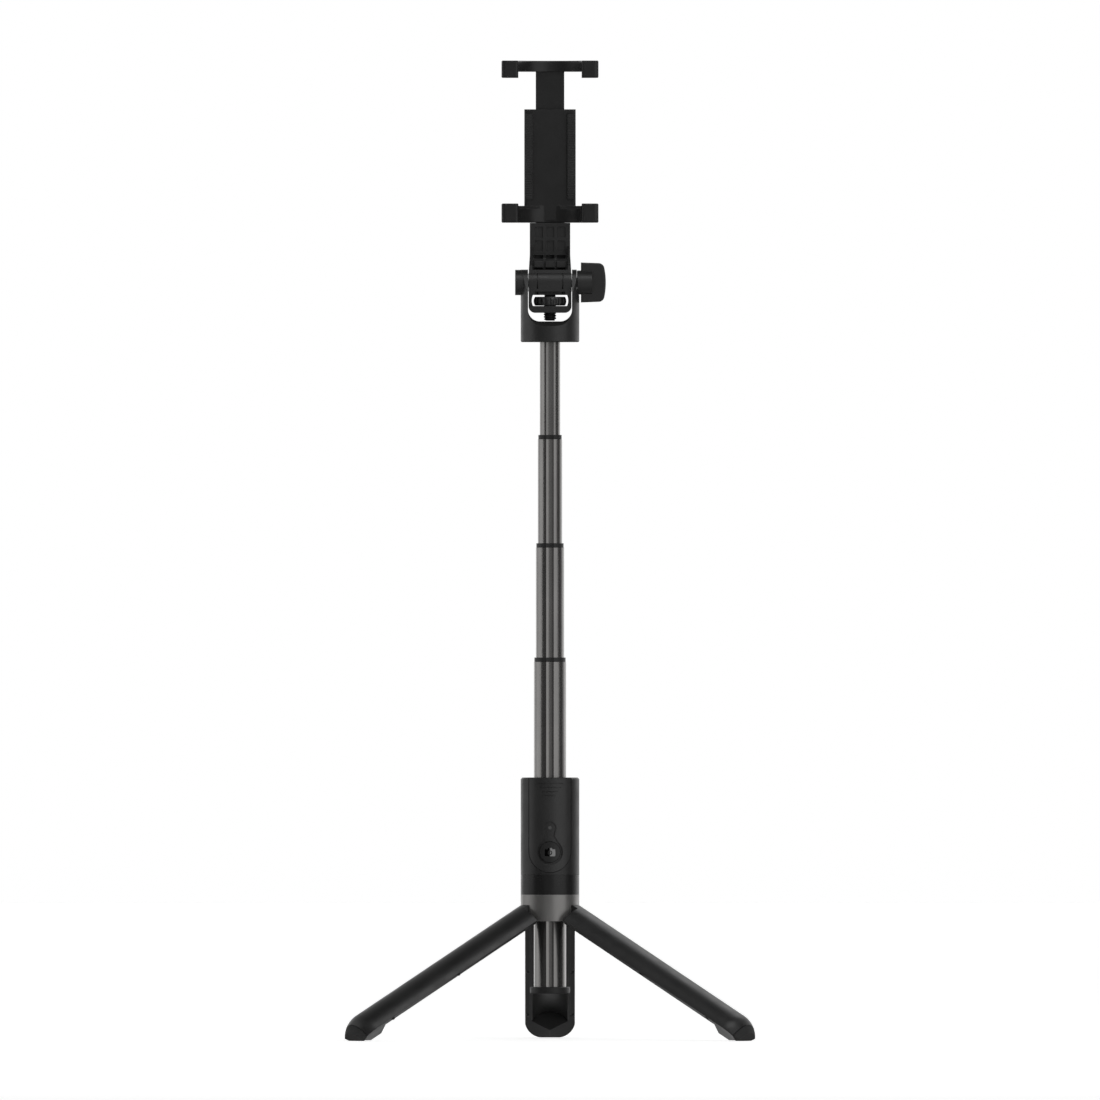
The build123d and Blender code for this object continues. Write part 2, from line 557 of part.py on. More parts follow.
REMOTE_R, REMOTE_TOP = 14.7, 132.2
SHELL_WALL, KEYHOLE_DEPTH, KEYHOLE_STEP = 1.3, 0.75, 0.35
BASE_FRONT_Y, BOARD_BACK_Y, BOARD_FRONT_Y = 10.2, 10.4, 11.0
BOARD_TOP, CELL_Z, CELL_R, CELL_BACK_Y, CELL_THICK = 112.0, 120.3, 6.25, 9.7, 1.95
SWITCH_HALF, SWITCH_HEIGHT, STEM_R = 2.2, 1.0, 0.9
BUTTON_FACE_R, BUTTON_TRAVEL, FLANGE_R, FLANGE_Y = 14.95, 0.4, 5.85, (11.5, 11.95)
KEYHOLE_NECK = [(4.0, 4.6), (1.9, 8.2), (2.5, 11.0)]  # half width, height above the button
BUTTON_PLAY, LIGHT_R, LIGHT_PROUD, CELL_PLAY, CELL_SEAT = 0.2, 0.9, 0.15, 0.15, 0.02
SWITCH_ROOM_R, SWITCH_ROOM_DEPTH, STEM_OVERLAP, STEM_TOP_Y = 3.6, 1.4, 0.1, 13.2
CONTACT_HALF, CONTACT_THICK, CONTACT_BOTTOM = 1.5, 0.2, 110.0
CONTACT_BEND_LOW, CONTACT_BEND_HIGH, CONTACT_TOP = 111.6, 113.2, 122.3
MARK_BODY, MARK_CORNER, MARK_HUMP, MARK_HUMP_RISE = (5.4, 3.5), 0.5, (2.2, 1.0), 1.6
MARK_DROP, MARK_LENS_R, MARK_PUPIL_R = 0.3, 1.15, 0.65
MARK_DEPTH, BOARD_INSET, GRIP_LINE_HEIGHT, GRIP_LINE_DEPTH = 0.2, 0.4, 0.45, 0.3
GRIP_LINES = [(129.4, 13.3), (127.4, 10.6), (125.3, 7.9), (123.3, 5.2)]


def keep_inside(radius):
    """In the active part: keep only what is inside an upright cylinder round the mast."""
    with BuildSketch(Plane.XY.offset(BAND_TOP)) as round_body:
        Circle(radius)
    extrude(round_body.sketch, amount=60, mode=Mode.INTERSECT)


def front_cut(sketch, inner_radius):
    """In the active part: sink a front-view sketch down to a cylinder round the mast."""
    with BuildPart(mode=Mode.PRIVATE) as cutter:
        extrude(Plane.XZ.offset(REMOTE_BACK_Y) * sketch, amount=STICK_R)
        with BuildSketch(Plane.XY.offset(BAND_TOP)) as inside:
            Circle(inner_radius)
        extrude(inside.sketch, amount=60, mode=Mode.SUBTRACT)
    add(cutter.part, mode=Mode.SUBTRACT)


def keyhole(grow=0.0):
    """Front view of the hollow round the button and the light: two discs and a neck."""
    with BuildSketch(mode=Mode.PRIVATE) as outline:
        with Locations((0, BUTTON_Z)):
            Circle(BUTTON_RING_R)
        with Locations((0, LED_Z)):
            Circle(LED_RING_R)
        with BuildLine():
            right = [(x, BUTTON_Z + rise) for x, rise in KEYHOLE_NECK]
            left = [(-x, z) for x, z in reversed(right)]
            Polyline(*right, *left, close=True)
        make_face()
        if grow:
            offset(amount=grow)
    return outline.sketch


def round_at(radius, height):
    """A front-view disc on the remote's middle line."""
    with BuildSketch(mode=Mode.PRIVATE) as outline:
        with Locations((0, height)):
            Circle(radius)
    return outline.sketch


inner_half = REMOTE_HALF - REMOTE_GAP - SHELL_WALL
inner_bottom = REMOTE_BOTTOM + REMOTE_GAP + SHELL_WALL
inner_top = REMOTE_TOP - SHELL_WALL

with BuildPart() as remote_cover:
    outside = pocket_outline(REMOTE_HALF - REMOTE_GAP, REMOTE_BOTTOM + REMOTE_GAP, REMOTE_TOP)
    front_block(outside, REMOTE_BACK_Y + SKIN, 16)
    keep_inside(REMOTE_R)
    with BuildPart(mode=Mode.PRIVATE) as cavity:
        front_block(pocket_outline(inner_half, inner_bottom, inner_top), REMOTE_BACK_Y - 1, 16)
        keep_inside(REMOTE_R - SHELL_WALL)
    add(cavity.part, mode=Mode.SUBTRACT)
    front_cut(keyhole(KEYHOLE_STEP), REMOTE_R - KEYHOLE_STEP)
    front_cut(keyhole(), REMOTE_R - KEYHOLE_DEPTH)
    front_cut(round_at(BUTTON_R + BUTTON_PLAY, BUTTON_Z), REMOTE_BACK_Y / 2)
    front_cut(round_at(LIGHT_R + SKIN, LED_Z), REMOTE_BACK_Y / 2)
    for height, width in GRIP_LINES:
        with BuildSketch(mode=Mode.PRIVATE) as grip_line:
            with Locations((0, height)):
                Rectangle(width, GRIP_LINE_HEIGHT)
        front_cut(grip_line.sketch, REMOTE_R - GRIP_LINE_DEPTH)
save(remote_cover, "remote_cover")

with BuildPart() as remote_base:
    inside = pocket_outline(inner_half - SKIN, inner_bottom + SKIN, inner_top - SKIN)
    front_block(inside, REMOTE_BACK_Y + SKIN, BASE_FRONT_Y)
    keep_inside(REMOTE_R - SHELL_WALL - SKIN)
    front_block(round_at(CELL_R + CELL_PLAY, CELL_Z), CELL_BACK_Y, BASE_FRONT_Y)
    with BuildSketch(Plane.XZ.offset(CELL_BACK_Y)) as cell_well:
        add(round_at(CELL_R + CELL_PLAY, CELL_Z))
    extrude(cell_well.sketch, amount=5, mode=Mode.SUBTRACT)
    with BuildSketch(Plane.XY.offset(RAIL_BOTTOM)) as rails:
        add(rail_section(0))
    extrude(rails.sketch, amount=RAIL_TOP - RAIL_BOTTOM)
save(remote_base, "remote_base")

with BuildPart() as remote_board:
    board = pocket_outline(inner_half - BOARD_INSET, inner_bottom + BOARD_INSET, BOARD_TOP)
    front_block(board, BOARD_BACK_Y, BOARD_FRONT_Y)
    keep_inside(REMOTE_R - SHELL_WALL - SEAT)
save(remote_board, "remote_board")

with BuildPart() as remote_cell:
    front_block(round_at(CELL_R, CELL_Z), CELL_BACK_Y + CELL_SEAT, CELL_BACK_Y + CELL_THICK)
    chamfer(remote_cell.edges().filter_by(GeomType.CIRCLE), 0.25)
save(remote_cell, "remote_cell")

with BuildPart() as remote_contact:
    with BuildSketch(Plane.YZ) as strip:
        with BuildLine():
            Polyline(
                (-BOARD_FRONT_Y, CONTACT_BOTTOM),
                (-BOARD_FRONT_Y, CONTACT_BEND_LOW),
                (-CELL_BACK_Y - CELL_THICK, CONTACT_BEND_HIGH),
                (-CELL_BACK_Y - CELL_THICK, CONTACT_TOP),
            )
            offset(amount=CONTACT_THICK, side=Side.LEFT)
        make_face()
    extrude(strip.sketch, amount=CONTACT_HALF, both=True)
save(remote_contact, "remote_contact")

with BuildPart() as remote_switch:
    with BuildSketch(mode=Mode.PRIVATE) as switch_body:
        with Locations((0, BUTTON_Z)):
            Rectangle(2 * SWITCH_HALF, 2 * SWITCH_HALF)
            Circle(STEM_R + SHANK_PLAY, mode=Mode.SUBTRACT)
    front_block(switch_body.sketch, BOARD_FRONT_Y, BOARD_FRONT_Y + SWITCH_HEIGHT)
save(remote_switch, "remote_switch")

with BuildPart() as remote_light:
    front_block(round_at(LIGHT_R, LED_Z), BOARD_FRONT_Y, REMOTE_R)
    keep_inside(REMOTE_R - KEYHOLE_DEPTH + LIGHT_PROUD)
save(remote_light, "remote_light")


def camera_mark():
    """Generic camera sign: a body with a raised middle and a round lens."""
    with BuildSketch(mode=Mode.PRIVATE) as mark:
        with Locations((0, BUTTON_Z - MARK_DROP)):
            RectangleRounded(*MARK_BODY, MARK_CORNER)
        with Locations((0, BUTTON_Z + MARK_HUMP_RISE)):
            Rectangle(*MARK_HUMP)
        with Locations((0, BUTTON_Z - MARK_DROP)):
            Circle(MARK_LENS_R, mode=Mode.SUBTRACT)
            Circle(MARK_PUPIL_R)
    return mark.sketch


with BuildPart() as shutter_button:
    front_block(round_at(BUTTON_R, BUTTON_Z), FLANGE_Y[0], 16)
    keep_inside(BUTTON_FACE_R)
    front_block(round_at(FLANGE_R, BUTTON_Z), *FLANGE_Y)
    with BuildSketch(Plane.XZ.offset(FLANGE_Y[0])) as switch_room:
        add(round_at(SWITCH_ROOM_R, BUTTON_Z))
    extrude(switch_room.sketch, amount=SWITCH_ROOM_DEPTH, mode=Mode.SUBTRACT)
    front_block(round_at(STEM_R, BUTTON_Z), BOARD_FRONT_Y + SWITCH_HEIGHT - STEM_OVERLAP, STEM_TOP_Y)
    front_cut(camera_mark(), BUTTON_FACE_R - MARK_DEPTH)
save(shutter_button, "shutter_button")

with BuildPart() as shutter_mark:
    front_block(camera_mark(), 13, 16)
    keep_inside(BUTTON_FACE_R - 0.02)
    with BuildSketch(Plane.XY.offset(BAND_TOP)) as below:
        Circle(BUTTON_FACE_R - MARK_DEPTH)
    extrude(below.sketch, amount=60, mode=Mode.SUBTRACT)
save(shutter_mark, "shutter_mark")


# ---- Head cup, hinge and tilt knob -------------------------------------------------------

CUP_SHOULDER, CUP_EDGE, SPOT_PLAY, BOLT_REACH = 366.0, 0.5, 0.2, 20.0
BEVEL_START_Y, BEVEL_WIDTH, BEVEL_ANGLE = 15.2, 2.7, 25
BEVEL_SLOPE = tan(radians(BEVEL_ANGLE))
BOLT_HEAD_R, BOLT_HEAD_HEIGHT, BOLT_HEAD_SINK, BOLT_END = 4.4, 2.6, 0.4, 19.5
HEX_KEY_R, HEX_KEY_DEPTH = 2.0, 1.6
bolt_seat = BOLT_HEAD_HEIGHT + BOLT_HEAD_SINK - BOSS_X
KNOB_HUB_R, KNOB_START, KNOB_HUB_END = 6.1, 13.6, 21.2
PADDLE_START, PADDLE_END, PADDLE_HEIGHT, PADDLE_HALF_THICK = 15.6, 28.2, 10.1, 2.1
NUT_HALF_WIDTH, NUT_LENGTH = 4.0, 4.0
PADDLE_CORNER_X, PADDLE_CORNER_Z, PADDLE_CORNER_R, PADDLE_EDGE_R = 26.9, 9.7, 3.0, 0.7
KNOB_EDGE, KNOB_BORE_PLAY, KNOB_BORE_END = 0.3, 0.15, 20.0
WASHER_R, WASHER_THICK = 4.6, 0.2


def across(radius, start, end, hole=0.0, mode=Mode.ADD):
    """In the active part: a disc or ring about the tilt axis, between two places along X."""
    with BuildSketch(Plane.YZ.offset(start)) as profile:
        with Locations((0, TILT_Z)):
            Circle(radius)
            if hole:
                Circle(hole, mode=Mode.SUBTRACT)
    extrude(profile.sketch, amount=end - start, mode=mode)


with BuildPart() as head_cup:
    disc(CUP_BOTTOM, STICK_R, TILT_Z + EAR_R - CUP_BOTTOM)
    chamfer(head_cup.edges().group_by(Axis.Z)[0], CUP_EDGE)
    with BuildSketch(Plane.YZ) as ears:
        with Locations((0, CUP_BOTTOM)):
            Rectangle(2 * STICK_R, CUP_SHOULDER - CUP_BOTTOM, align=(Align.CENTER, Align.MIN))
        with Locations((0, TILT_Z)):
            Circle(EAR_R)
        make_hull()
    extrude(ears.sketch, amount=STICK_R, both=True, mode=Mode.INTERSECT)
    with BuildSketch(Plane.XZ) as cup_slot:
        with Locations((0, CUP_SLOT_BOTTOM)):
            Rectangle(2 * CUP_SLOT_HALF, 40, align=(Align.CENTER, Align.MIN))
        fillet(cup_slot.vertices().group_by(Axis.Z)[0], CUP_SLOT_CORNER)
    extrude(cup_slot.sketch, amount=STICK_R, both=True, mode=Mode.SUBTRACT)
    for side in (-1, 1):
        outside = Plane(origin=(0, side * BEVEL_START_Y, 0), x_dir=(side, 0, 0), z_dir=(0, -side, 0))
        with BuildSketch(outside) as slot_bevel:
            with Locations((0, CUP_SLOT_BOTTOM - BEVEL_WIDTH)):
                Rectangle(2 * (CUP_SLOT_HALF + BEVEL_WIDTH), 60, align=(Align.CENTER, Align.MIN))
            fillet(slot_bevel.vertices().group_by(Axis.Z)[0], CUP_SLOT_CORNER + BEVEL_WIDTH)
        extrude(slot_bevel.sketch, amount=BEVEL_WIDTH / BEVEL_SLOPE, taper=BEVEL_ANGLE, mode=Mode.SUBTRACT)
    across(BOSS_R, -BOSS_X, -CUP_SLOT_HALF)
    across(EAR_R + SPOT_PLAY, SPOT_X, BOLT_REACH, mode=Mode.SUBTRACT)
    across(BOLT_R, -BOLT_REACH, BOLT_REACH, mode=Mode.SUBTRACT)
    across(BOLT_HEAD_R + SEAT, -BOLT_REACH, bolt_seat, mode=Mode.SUBTRACT)
    fluted_bore(CUP_BOTTOM, CUP_SOCKET, tube_outline(TUBE_RADII[3]))
save(head_cup, "head_cup")

with BuildPart() as hinge_bolt:
    across(BOLT_HEAD_R, bolt_seat - BOLT_HEAD_HEIGHT, bolt_seat)
    across(BOLT_R, bolt_seat, BOLT_END)
    chamfer(hinge_bolt.edges().group_by(Axis.X)[0], 0.4)
    with BuildSketch(Plane.YZ.offset(bolt_seat - BOLT_HEAD_HEIGHT)) as hex_key:
        with Locations((0, TILT_Z)):
            RegularPolygon(HEX_KEY_R, 6)
    extrude(hex_key.sketch, amount=HEX_KEY_DEPTH, mode=Mode.SUBTRACT)
save(hinge_bolt, "hinge_bolt")

with BuildPart() as hinge_washers:
    for side in (-1, 1):
        inner_face = side * (YOKE_HALF + SKIN)
        across(WASHER_R, inner_face, inner_face + side * WASHER_THICK, BOLT_R + SKIN)
save(hinge_washers, "hinge_washers")

with BuildPart() as tilt_knob:
    with BuildSketch(Plane.XZ) as paddle:
        with BuildLine():
            upper, lower = (PADDLE_CORNER_X, PADDLE_CORNER_Z), (PADDLE_CORNER_X, -PADDLE_CORNER_Z)
            edge = ThreePointArc(upper, (PADDLE_END, 0), lower)
            inner_edge = (PADDLE_START, -PADDLE_HEIGHT), (PADDLE_START, PADDLE_HEIGHT)
            Polyline(edge @ 1, *inner_edge, edge @ 0)
        make_face()
        fillet(paddle.vertices().group_by(Axis.X)[-1], PADDLE_CORNER_R)
    paddle_at_tilt = Pos(0, 0, TILT_Z) * paddle.sketch
    extrude(paddle_at_tilt, amount=PADDLE_HALF_THICK, both=True)
    flat_faces = tilt_knob.faces().filter_by(Axis.Y)
    fillet(flat_faces.edges(), PADDLE_EDGE_R)
    across(KNOB_HUB_R, KNOB_START, KNOB_HUB_END)
    chamfer(tilt_knob.edges().group_by(Axis.X)[0], KNOB_EDGE)
    across(BOLT_R + KNOB_BORE_PLAY, KNOB_START, KNOB_BORE_END, mode=Mode.SUBTRACT)
    with BuildSketch(Plane.YZ.offset(KNOB_START)) as nut_pocket:
        with Locations((0, TILT_Z)):
            RegularPolygon(NUT_HALF_WIDTH, 6, major_radius=False)
    extrude(nut_pocket.sketch, amount=NUT_LENGTH, mode=Mode.SUBTRACT)
save(tilt_knob, "tilt_knob")

with BuildPart() as knob_nut:
    with BuildSketch(Plane.YZ.offset(KNOB_START)) as nut:
        with Locations((0, TILT_Z)):
            RegularPolygon(NUT_HALF_WIDTH, 6, major_radius=False)
            Circle(BOLT_R + SKIN, mode=Mode.SUBTRACT)
    extrude(nut.sketch, amount=NUT_LENGTH)
save(knob_nut, "knob_nut")


# ---- Tilting yoke with the camera screw --------------------------------------------------

BAIL_CORNER, BARREL_GROOVE_WIDTH, BARREL_GROOVE_DEPTH = 3.3, 0.6, 0.5
BARREL_RELIEF, BARREL_RELIEF_HALF, BARREL_RELIEF_Y = 1.6, 7.7, 3.6
NECK_SCREW_X, NECK_SCREW_Z, NECK_SCREW_R, NECK_SCREW_LENGTH = 3.8, 417.0, 1.0, 2.6
NECK_SCREW_HEAD_R, NECK_SCREW_HEAD = 1.8, 1.2
JOURNAL_R, JOURNAL_TOP = 2.8, 378.2
SCREW_NECK_R, SCREW_NECK_GAP, SCREW_TIP = 3.0, 0.2, 0.8
WHEEL_EDGE_R, SCALLOPS, SCALLOP_R, SCALLOP_RING_R = 7.5, 20, 1.1, 8.905
POCKET_XS, POCKET_WIDTH, POCKET_DEPTH, POCKET_CORNER = [-5.7, 0, 5.7], 4.1, 0.9, 0.4
FINGER_WIDTH, SLIT_EDGE = 4.5, 0.1
FLARE_BOTTOM, FLARE_TOP = 386.6, 396.5
POCKET_ROWS = [(15.6, 21.2), (22.8, 28.2)]
CHEEK = 1.3
TANG_HALF, TANG_FRONT_Y, TANG_TOP = 7.3, 17.3, 421.2
NECK_TOP = JAW_LOW_BOTTOM - SEAT - TILT_Z


def plate(x_range, y_range, z_range, mode=Mode.ADD):
    """In the active part: a plain block between three pairs of limits."""
    centre = [(low + high) / 2 for low, high in (x_range, y_range, z_range)]
    with Locations(tuple(centre)):
        sizes = [high - low for low, high in (x_range, y_range, z_range)]
        Box(*sizes, mode=mode)


def neck_holes(radius, near, far):
    """In the active part: the two screw holes through the clamp's back into the neck's tang."""
    with BuildSketch(Plane.XZ.offset(-far)) as holes:
        with Locations((-NECK_SCREW_X, NECK_SCREW_Z), (NECK_SCREW_X, NECK_SCREW_Z)):
            Circle(radius)
    extrude(holes.sketch, amount=far - near, mode=Mode.SUBTRACT)


def side_slab(points, half_width, mode=Mode.ADD, middle=0.0):
    """In the active part: a slab whose side view is given as (y, z above the tilt axis)."""
    with BuildSketch(Plane.YZ.offset(middle)) as side_view:
        with BuildLine():
            Polyline(*[(y, z + TILT_Z) for y, z in points], close=True)
        make_face()
    extrude(side_view.sketch, amount=half_width, both=True, mode=mode)


# Side views of the neck's root, as (y, height above the tilt axis): its back, the front of its two
# cheeks, the hollow between them, one of the three fingers in it, and the slit over a finger.
neck_back = [(NECK_BACK_Y, NECK_TOP), (NECK_BACK_Y, 14), (14, 4), (6.2, 0), (0, 0)]
cheek_front = [(-4.4, 4.7), (-1.5, 8.6), (7.0, 13.0), (NECK_FRONT_Y, 18.5), (NECK_FRONT_Y, NECK_TOP)]
hollow_top = [(-3.5, 6.4), (-3.5, NECK_TOP), (NECK_FRONT_Y, NECK_TOP), (NECK_FRONT_Y, 14.2)]
core_front = hollow_top + [(11.5, 12.4), (7.5, 6.6)]
finger_side = [(1.2, 7.6), (1.2, 10.8), (2.6, 12.1), (12.0, 12.1), (8.2, 7.6)]
slit_side = [(8.0, 12.1), (18.6, 12.1), (18.6, 14.0), (8.0, 14.0)]

with BuildPart() as tilt_yoke:
    with BuildSketch(Plane.XZ) as bail:
        with Locations((0, BAIL_BOTTOM)):
            bail_height = TILT_Z + BARREL_R - BAIL_BOTTOM
            Rectangle(2 * YOKE_HALF, bail_height, align=(Align.CENTER, Align.MIN))
        fillet(bail.vertices().group_by(Axis.Z)[0], BAIL_CORNER)
    extrude(bail.sketch, amount=BAIL_DEPTH_HALF, both=True)
    with BuildSketch(Plane.YZ) as bail_side:
        with Locations((0, BAIL_BOTTOM)):
            Rectangle(2 * BAIL_DEPTH_HALF, WHEEL_TOP - BAIL_BOTTOM, align=(Align.CENTER, Align.MIN))
        with Locations((0, TILT_Z)):
            Circle(BARREL_R)
        make_hull()
    extrude(bail_side.sketch, amount=YOKE_HALF, both=True, mode=Mode.INTERSECT)
    for side in (-1, 1):
        groove_start = side * BARREL_HALF
        groove_end = side * (BARREL_HALF + BARREL_GROOVE_WIDTH)
        groove_floor = BARREL_R - BARREL_GROOVE_DEPTH
        across(BARREL_R + 1, groove_start, groove_end, groove_floor, mode=Mode.SUBTRACT)
    side_slab(cheek_front + neck_back, YOKE_HALF)
    with BuildSketch(Plane.XZ) as beside_neck:
        with BuildLine():
            Polyline(
                (YOKE_HALF, FLARE_BOTTOM),
                (NECK_HALF, FLARE_TOP),
                (NECK_HALF, JAW_LOW_BOTTOM),
                (STICK_R, JAW_LOW_BOTTOM),
                (STICK_R, FLARE_BOTTOM),
                close=True,
            )
        make_face()
        mirror(about=Plane.YZ)
    extrude(beside_neck.sketch, amount=2 * STICK_R, both=True, mode=Mode.SUBTRACT)
    side_slab(core_front, NECK_HALF - CHEEK, mode=Mode.SUBTRACT)
    for middle in POCKET_XS:
        side_slab(finger_side, FINGER_WIDTH / 2, middle=middle)
        side_slab(slit_side, FINGER_WIDTH / 2 - SLIT_EDGE, mode=Mode.SUBTRACT, middle=middle)
    with BuildSketch(Plane.XZ.offset(-NECK_FRONT_Y)) as pockets:
        for low, high in POCKET_ROWS:
            with Locations([(x, TILT_Z + (low + high) / 2) for x in POCKET_XS]):
                RectangleRounded(POCKET_WIDTH, high - low, POCKET_CORNER)
    extrude(pockets.sketch, amount=-POCKET_DEPTH, mode=Mode.SUBTRACT)
    with BuildSketch(Plane.XY.offset(TILT_Z + NECK_TOP)) as tang:
        with Locations((0, (TANG_FRONT_Y + NECK_BACK_Y) / 2)):
            Rectangle(2 * TANG_HALF, NECK_BACK_Y - TANG_FRONT_Y)
    extrude(tang.sketch, amount=TANG_TOP - TILT_Z - NECK_TOP)
    with BuildSketch(Plane.XZ) as window:
        with BuildLine():
            middle_z = (BAIL_TOP + WINDOW_TOP) / 2
            low, high = (WINDOW_HALF, BAIL_TOP), (WINDOW_HALF, WINDOW_TOP)
            right = ThreePointArc(low, (WINDOW_BULGE, middle_z), high)
            low, high = (-WINDOW_HALF, BAIL_TOP), (-WINDOW_HALF, WINDOW_TOP)
            left = ThreePointArc(high, (-WINDOW_BULGE, middle_z), low)
            Line(right @ 1, left @ 0)
            Line(left @ 1, right @ 0)
        make_face()
    extrude(window.sketch, amount=BAIL_DEPTH_HALF + 1, both=True, mode=Mode.SUBTRACT)
    relief_x = (-BARREL_RELIEF_HALF, BARREL_RELIEF_HALF)
    relief_y = (-BAIL_DEPTH_HALF - 1, -BARREL_RELIEF_Y)
    plate(relief_x, relief_y, (WINDOW_TOP, WINDOW_TOP + BARREL_RELIEF), Mode.SUBTRACT)
    across(BOLT_R + SKIN, -YOKE_HALF - 1, YOKE_HALF + 1, mode=Mode.SUBTRACT)
    with BuildSketch(Plane.XY.offset(WINDOW_TOP)) as journal_hole:
        Circle(JOURNAL_R + SKIN)
    extrude(journal_hole.sketch, amount=JOURNAL_TOP + SEAT - WINDOW_TOP, mode=Mode.SUBTRACT)
    with BuildSketch(Plane.XY.offset(BAIL_BOTTOM)) as screw_hole:
        Circle(SCREW_R + SKIN)
    extrude(screw_hole.sketch, amount=BAIL_TOP - BAIL_BOTTOM, mode=Mode.SUBTRACT)
    neck_holes(NECK_SCREW_R + SKIN, TANG_FRONT_Y - 1, NECK_BACK_Y)
save(tilt_yoke, "tilt_yoke")

with BuildPart() as camera_screw:
    disc(SCREW_BOTTOM, SCREW_R, BAIL_BOTTOM - SCREW_NECK_GAP - SCREW_BOTTOM)
    chamfer(camera_screw.edges().group_by(Axis.Z)[0], SCREW_TIP)
    disc(BAIL_BOTTOM - SCREW_NECK_GAP, SCREW_NECK_R, WHEEL_TOP - BAIL_BOTTOM + SCREW_NECK_GAP)
    disc(WHEEL_TOP, JOURNAL_R, JOURNAL_TOP - WHEEL_TOP)
save(camera_screw, "camera_screw")

with BuildPart() as camera_wheel:
    with BuildSketch(Plane.XZ) as wheel:
        with BuildLine():
            middle_z = (WHEEL_BOTTOM + WHEEL_TOP) / 2
            low, high = (WHEEL_EDGE_R, WHEEL_BOTTOM), (WHEEL_EDGE_R, WHEEL_TOP)
            rim = ThreePointArc(low, (WHEEL_R, middle_z), high)
            Polyline(rim @ 1, (SCREW_NECK_R, WHEEL_TOP), (SCREW_NECK_R, WHEEL_BOTTOM), rim @ 0)
        make_face()
    revolve(wheel.sketch, axis=Axis.Z)
    with BuildSketch(Plane.XY.offset(WHEEL_BOTTOM - 1)) as scallops:
        with PolarLocations(SCALLOP_RING_R, SCALLOPS):
            Circle(SCALLOP_R)
    extrude(scallops.sketch, amount=WHEEL_TOP - WHEEL_BOTTOM + 2, mode=Mode.SUBTRACT)
save(camera_wheel, "camera_wheel")


# ---- Phone clamp -------------------------------------------------------------------------

PAD_EDGE_R, JAW_INNER_R, JAW_BACK_CORNER_R, JAW_EDGE = 1.8, 1.2, 4.0, 0.4
JAW_MIDDLE_HALF, SLEEVE_CORNER_R, SLEEVE_ROOT = 16.0, 1.2, 1.0
COVER_CORNER_R, COVER_EDGE, STRIP_EDGE, STRIP_MARGIN = 1.0, 0.5, 0.4, 2.0
JAW_SEAT_BACK_Y = 15.4
GRIP_PROUD, GRIP_THICK = 0.2, 1.4
GRIP_XS, GRIP_YS = (17.4, 23.3), (4.6, 14.4)
JAW_MIDDLE_LOW, JAW_MIDDLE_HIGH = 421.2, 489.0
CHANNEL_HALF, CHANNEL_BOTTOM, CHANNEL_TOP, TOP_SLOT_HALF = 11.3, 421.4, 468.0, 7.35
TONGUE_Y = (17.4, 19.6)
LUG_HALF, LUG_HEIGHT = 10.9, 3.0
SPRING_X, SPRING_Y, SPRING_R, SPRING_WIRE, SPRING_LENGTH = 9.35, 18.6, 1.2, 0.35, 12.0
STRIP_XS, STRIP_PROUD = (8.6, 12.4), 1.6


def jaw_plan():
    """Plan of both jaws: two end pads joined by a back that is hollowed to clear the handle."""
    with BuildSketch(mode=Mode.PRIVATE) as plan:
        with Locations((0, (JAW_FRONT_Y + JAW_BACK_Y) / 2)):
            Rectangle(2 * JAW_HALF, JAW_BACK_Y - JAW_FRONT_Y)
        fillet(plan.vertices().group_by(Axis.Y)[0], PAD_EDGE_R)
        fillet(plan.vertices().group_by(Axis.Y)[-1], JAW_BACK_CORNER_R)
        Circle(JAW_RECESS_R, mode=Mode.SUBTRACT)
        inner = plan.vertices().filter_by(lambda v: abs(hypot(v.X, v.Y) - JAW_RECESS_R) < 0.01)
        fillet(inner, JAW_INNER_R)
    return plan.sketch


def both_sides(x_range):
    """A range along X and its mirror image."""
    return [x_range, (-x_range[1], -x_range[0])]


def jaw_block(bottom, top):
    """In the active part, as its first piece: a full-height jaw with softened edges."""
    with BuildSketch(Plane.XY.offset(bottom)) as plan:
        add(jaw_plan())
    jaw = extrude(plan.sketch, amount=top - bottom)
    levels = jaw.edges().group_by(Axis.Z)
    chamfer(levels[0] + levels[-1], JAW_EDGE)


whole_jaw = (-JAW_HALF - 1, JAW_HALF + 1)
jaw_middle = (-JAW_MIDDLE_HALF, JAW_MIDDLE_HALF)

